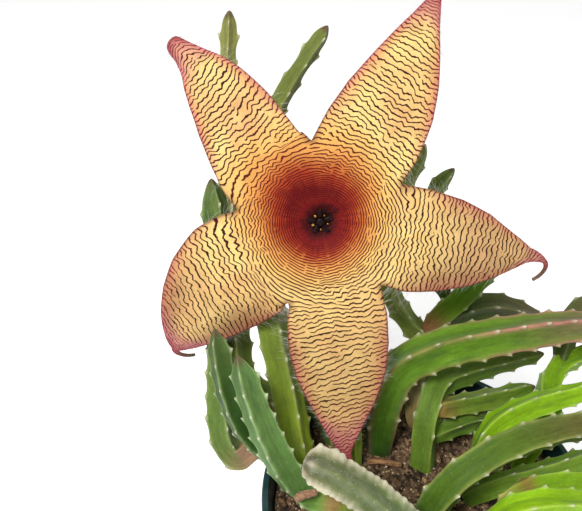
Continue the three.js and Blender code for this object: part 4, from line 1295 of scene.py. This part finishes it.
def build_stalk():
    top = -CUP_DEPTH - THICKNESS - FIT_GAP
    profile = [
        (0, top - 11), (3.2, top - 11), (3.4, top - 9), (4.2, top - 7), (5.6, top - 3.5),
        (6.4, top - 1), (6.2, top - 0.3), (5.6, top), (0, top),
    ]
    lumps = [turned(profile, 36)]
    for angle in PETAL_ANGLES:
        ahead, side = facing(angle, -0.12)
        middle = ahead * (CALYX_RADIUS + 2.5) + [0, 0, top - 2.4]
        axes = [ahead, side, np.cross(ahead, side)]
        lumps.append(ellipsoid(middle, (SEPAL_LENGTH / 2, 2.2, 0.7), axes, 14, 16))
    lumps = [(to_part(points), *faces) for points, *faces in lumps]
    start = to_part(np.array([0, 0, top - 6.0]))
    lumps.append(rod([start, *STALK_PATH], STALK_RADIUS, 28, 0.8, 0.25))
    points, quads, triangles = joined(lumps)
    mesh = mesh_of("flower_stalk_skin", points, quads, triangles)
    give(mesh, tone=blend((126, 140, 70), (150, 104, 78), smooth(0.5 + 0.6 * NOISE.at(points, 7))))
    material = skin_shader("stalk_skin", 0.6, 0.4, 0.3)
    piece("flower_stalk_skin", mesh, material, "stalk_green", "flower_stalk")


# Pot, soil and what lies on it


def wall_radius(z):
    return POT_FOOT + (POT_RIM - LIP_STEP - POT_FOOT) * z / POT_HEIGHT


def inner_radius(z):
    return wall_radius(z) - POT_WALL


def rounded(corners, count=5):
    """A profile from (radius, height, rounding) corners, which ends in plain points."""
    places = np.array(corners, float)[:, :2]
    t = np.linspace(0, 1, count)[:, None]
    made = [places[:1]]
    for (*_, radius), before, at, after in zip(corners[1:], places, places[1:], places[2:]):
        a, b = at + unit(before - at) * radius, at + unit(after - at) * radius
        made.append((1 - t) ** 2 * a + 2 * t * (1 - t) * at + t**2 * b)
    return np.concatenate([*made, places[-1:]])


def build_pot():
    lip_foot = POT_HEIGHT - LIP_DEPTH
    corners = [
        (0, 0, 0), (POT_FOOT - 1.5, 0, 0.6), (wall_radius(2), 2, 0.6),
        (wall_radius(lip_foot), lip_foot, 0.5), (POT_RIM - 0.8, lip_foot + 1.2, 0.5),
        (POT_RIM, POT_HEIGHT - 0.8, 0.4), (POT_RIM - 0.8, POT_HEIGHT, 0.4),
        (inner_radius(POT_HEIGHT) + 0.5, POT_HEIGHT, 0.35),
        (inner_radius(POT_HEIGHT), POT_HEIGHT - 1.2, 0.5),
        (inner_radius(POT_FLOOR + 2), POT_FLOOR + 2, 1.2),
        (inner_radius(POT_FLOOR) - 2, POT_FLOOR, 1.2), (0, POT_FLOOR, 0),
    ]
    mesh = mesh_of("pot_wall", *turned(rounded(corners), 160))
    sh = Shader("pot_plastic", 0.36, 0.5)
    tone = sh.mix(sh.range(sh.noise(24, 5, 0.65), 0.35, 0.7), (16, 46, 50), (30, 66, 68))
    streak = sh.range(sh.noise(60, 4, 0.6, (1, 1, 0.12)), 0.5, 0.72)
    tone = sh.mix(sh.times(streak, 0.35), tone, (64, 92, 90))
    dust = sh.range(sh.noise(800, 3, 0.7), 0.6, 0.75)
    tone = sh.mix(sh.times(dust, 0.3), tone, (128, 138, 128))
    sh.put(sh.even(sh.noise(130, 4), 0.3, 0.7, 0.3, 0.46), sh.skin.inputs["Roughness"])
    material = sh.finish(tone, sh.noise(2600, 2), 0.05)
    pot = piece("pot_wall", mesh, material, "pot_plastic", "pot")

    points, *faces = turned([(0, -3), (DRAIN_RADIUS, -3), (DRAIN_RADIUS, 8), (0, 8)], 28)
    angles = circle(DRAIN_COUNT) + math.pi / DRAIN_COUNT
    drill = joined([(points + DRAIN_RING * facing(angle)[0], *faces) for angle in angles])
    drill = added("drill", mesh_of("drill", *drill))
    cut = pot.modifiers.new("drains", "BOOLEAN")
    cut.operation, cut.solver, cut.object = "DIFFERENCE", "EXACT", drill
    drilled = pot.evaluated_get(bpy.context.evaluated_depsgraph_get())
    fresh = bpy.data.meshes.new_from_object(drilled)
    pot.modifiers.clear()
    pot.data = fresh
    bpy.data.objects.remove(drill)


def soil_height(x, y):
    mounds = (
        1.3 * np.sin(x * 0.16 + 1.2) * np.cos(y * 0.19 - 0.4)
        + 0.8 * np.sin(x * 0.37 - y * 0.29 + 2)
        + 0.6 * np.cos(x * 0.23 + y * 0.45)
    )
    p = np.stack([x, y, np.zeros_like(x)], -1)
    crumbs = 1.0 * NOISE.at(p, 6) + 0.8 * NOISE.at(p + 40, 3) + 0.5 * NOISE.at(p + 80, 1.5)
    return SOIL_TOP - 0.6 + mounds + crumbs


def build_soil():
    edge = inner_radius(SOIL_TOP) - FIT_GAP - 0.4
    radii = edge * (1 - np.arange(SOIL_RINGS) / SOIL_RINGS) - 0.3
    low_z = POT_FLOOR + FIT_GAP
    low_r = inner_radius(low_z) - FIT_GAP - 2.4
    radii = np.concatenate([[low_r, edge], radii])[:, None]
    u = circle(SOIL_AROUND)
    x, y = radii * np.cos(u), radii * np.sin(u)
    z = soil_height(x, y)
    z[:2] = [[low_z], [SOIL_TOP - 3]]
    ends = [[0, 0, low_z], [0, 0, soil_height(0.0, 0.0)]]
    points = np.concatenate([np.stack([x, y, z], -1).reshape(-1, 3), ends])
    share = smooth(0.5 + 0.7 * NOISE.at(points + 9, 2.2) + 0.2 * NOISE.at(points, 9))
    tone = blend((46, 36, 28), (132, 106, 80), share)
    parts = [(points, *tube_faces(len(radii), SOIL_AROUND), tone)]
    rng = np.random.default_rng(41)
    kind_of = rng.choice(len(CRUMB_KINDS), CRUMBS, p=[kind[0] for kind in CRUMB_KINDS])
    for n, kind in enumerate(kind_of):
        _, (least, most), flat, long, (one, two) = CRUMB_KINDS[kind]
        size = least + (most - least) * rng.uniform() ** 1.8
        r, a = (edge - 4) * math.sqrt(rng.uniform()), rng.uniform(0, 2 * math.pi)
        x, y = r * math.cos(a), r * math.sin(a)
        ahead, side = facing(rng.uniform(0, math.pi), rng.uniform(-0.35, 0.35))
        ahead = unit(ahead)
        sizes = (size * long * 0.5, size * 0.55, size * flat * 0.5)
        around = (6, 9) if size > 1.6 else (4, 7)
        place = [x, y, soil_height(x, y) + 0.12 * size]
        p, q, t = ellipsoid(place, sizes, [ahead, side, np.cross(ahead, side)], *around, 0.42, n)
        parts.append((p, q, t, blend(one, two, np.full(len(p), rng.uniform()))))
    points, quads, triangles, tone = joined(parts)
    mesh = mesh_of("soil_bed", points, quads, triangles)
    give(mesh, tone=tone)
    sh = Shader("soil_mix", 0.92, 0.2)
    grain = sh.even(sh.noise(1100, 4, 0.75), 0.3, 0.7, 0.3, 1.85)
    damp = sh.even(sh.noise(70, 4), 0.35, 0.65, 0.8, 1.12)
    colour = sh.shade(sh.attribute("tone", "Color"), sh.times(grain, damp))
    # painted shade: dark pits in the gaps between the crumbs
    pit_shade = sh.range(sh.noise(520, 3, 0.6), 0.3, 0.43, 0.8, 0.0)
    colour = sh.mix(pit_shade, colour, (26, 20, 16))
    flakes = sh.range(sh.cells(430), 0.16, 0.34, 0.9, 0.0)
    some = sh.range(sh.noise(190, 2), 0.47, 0.55)
    colour = sh.mix(sh.times(flakes, some), colour, (214, 186, 144))
    material = sh.finish(colour, sh.noise(1500, 5, 0.75), 0.7)
    piece("soil_bed", mesh, material, "soil_mix", "soil")


def build_litter():
    """The strip of bark on the soil and the withered shoot."""
    points, quads, triangles = rod(*BARK_STRIP, 26, 0.4, 0.35, 4, 1.6)
    low = points[:, 2].mean()
    points[:, 2] = low + (points[:, 2] - low) * 0.8
    mesh = mesh_of("bark_strip_skin", points, quads, triangles)
    sh = Shader("bark_fibre", 0.85, 0.25)
    fibre = sh.noise(420, 5, 0.7, (0.25, 1.6, 1.6))
    colour = sh.mix(sh.range(fibre, 0.35, 0.65), (92, 62, 40), (172, 130, 88))
    piece("bark_strip_skin", mesh, sh.finish(colour, fibre, 0.8), "bark", "bark_strip")

    mesh = mesh_of("dry_shoot_skin", *rod(*DRY_SHOOT, 24, 0.35, 0.5, 9, 1.2))
    sh = Shader("withered_skin", 0.8, 0.25, 0.2)
    crease = sh.noise(700, 4, 0.7, (0.6, 1.4, 1.4))
    colour = sh.mix(sh.range(crease, 0.35, 0.65), (142, 100, 76), (184, 144, 110))
    piece("dry_shoot_skin", mesh, sh.finish(colour, crease, 0.6), "dry_skin", "dry_shoot")


# Studio


def area_light(name, place, aim, size, power):
    data = bpy.data.lights.new(name, "AREA")
    data.shape, data.size, data.energy = "DISK", size, power
    light = added(name, data)
    light.location = place
    light.rotation_euler = (Vector(aim) - Vector(place)).to_track_quat("-Z", "Y").to_euler()


def build_studio():
    corners = [(-1, -1), (1, -1), (1, 1), (-1, 1)]
    mesh = mesh_of("floor", [(x * FLOOR, y * FLOOR, -0.3) for x, y in corners], [[0, 1, 2, 3]])
    sh = Shader("floor_paint", 0.9, 0.1)
    sh.skin.inputs["Emission Color"].default_value = (1, 1, 1, 1)
    sh.skin.inputs["Emission Strength"].default_value = 0.45
    mesh.materials.append(sh.finish(sh.mix(sh.noise(3, 2), (250, 250, 250), (253, 253, 253))))
    floor = added("floor", mesh)

    world = bpy.data.worlds.new("studio")
    bpy.context.scene.world = world
    world.use_nodes = True
    background = world.node_tree.nodes["Background"]
    background.inputs["Color"].default_value = (1, 1, 1, 1)
    background.inputs["Strength"].default_value = 0.36
    area_light("key", (-0.45, -0.5, 1.35), (-0.03, 0.05, 0.25), 0.4, 15)
    area_light("fill", (0.9, -0.5, 0.9), (0, 0.05, 0.2), 0.8, 2.5)

    data = bpy.data.cameras.new("camera")
    data.sensor_width, data.sensor_fit = 36, "HORIZONTAL"
    data.lens = FOCAL_PIXELS * data.sensor_width / PHOTO_WIDTH
    data.clip_start, data.clip_end = 0.01, 20
    camera = added("camera", data)
    camera.location = CAMERA_PLACE
    camera.rotation_euler = (math.radians(90 - CAMERA_PITCH), 0, 0)
    bpy.context.scene.camera = camera
    bpy.context.scene.view_settings.view_transform = "Standard"


build_studio()
build_pot()
build_soil()
build_litter()
build_stems()
build_corolla()
build_margin_hairs()
build_crown()
build_stalk()

bpy.context.view_layer.update()
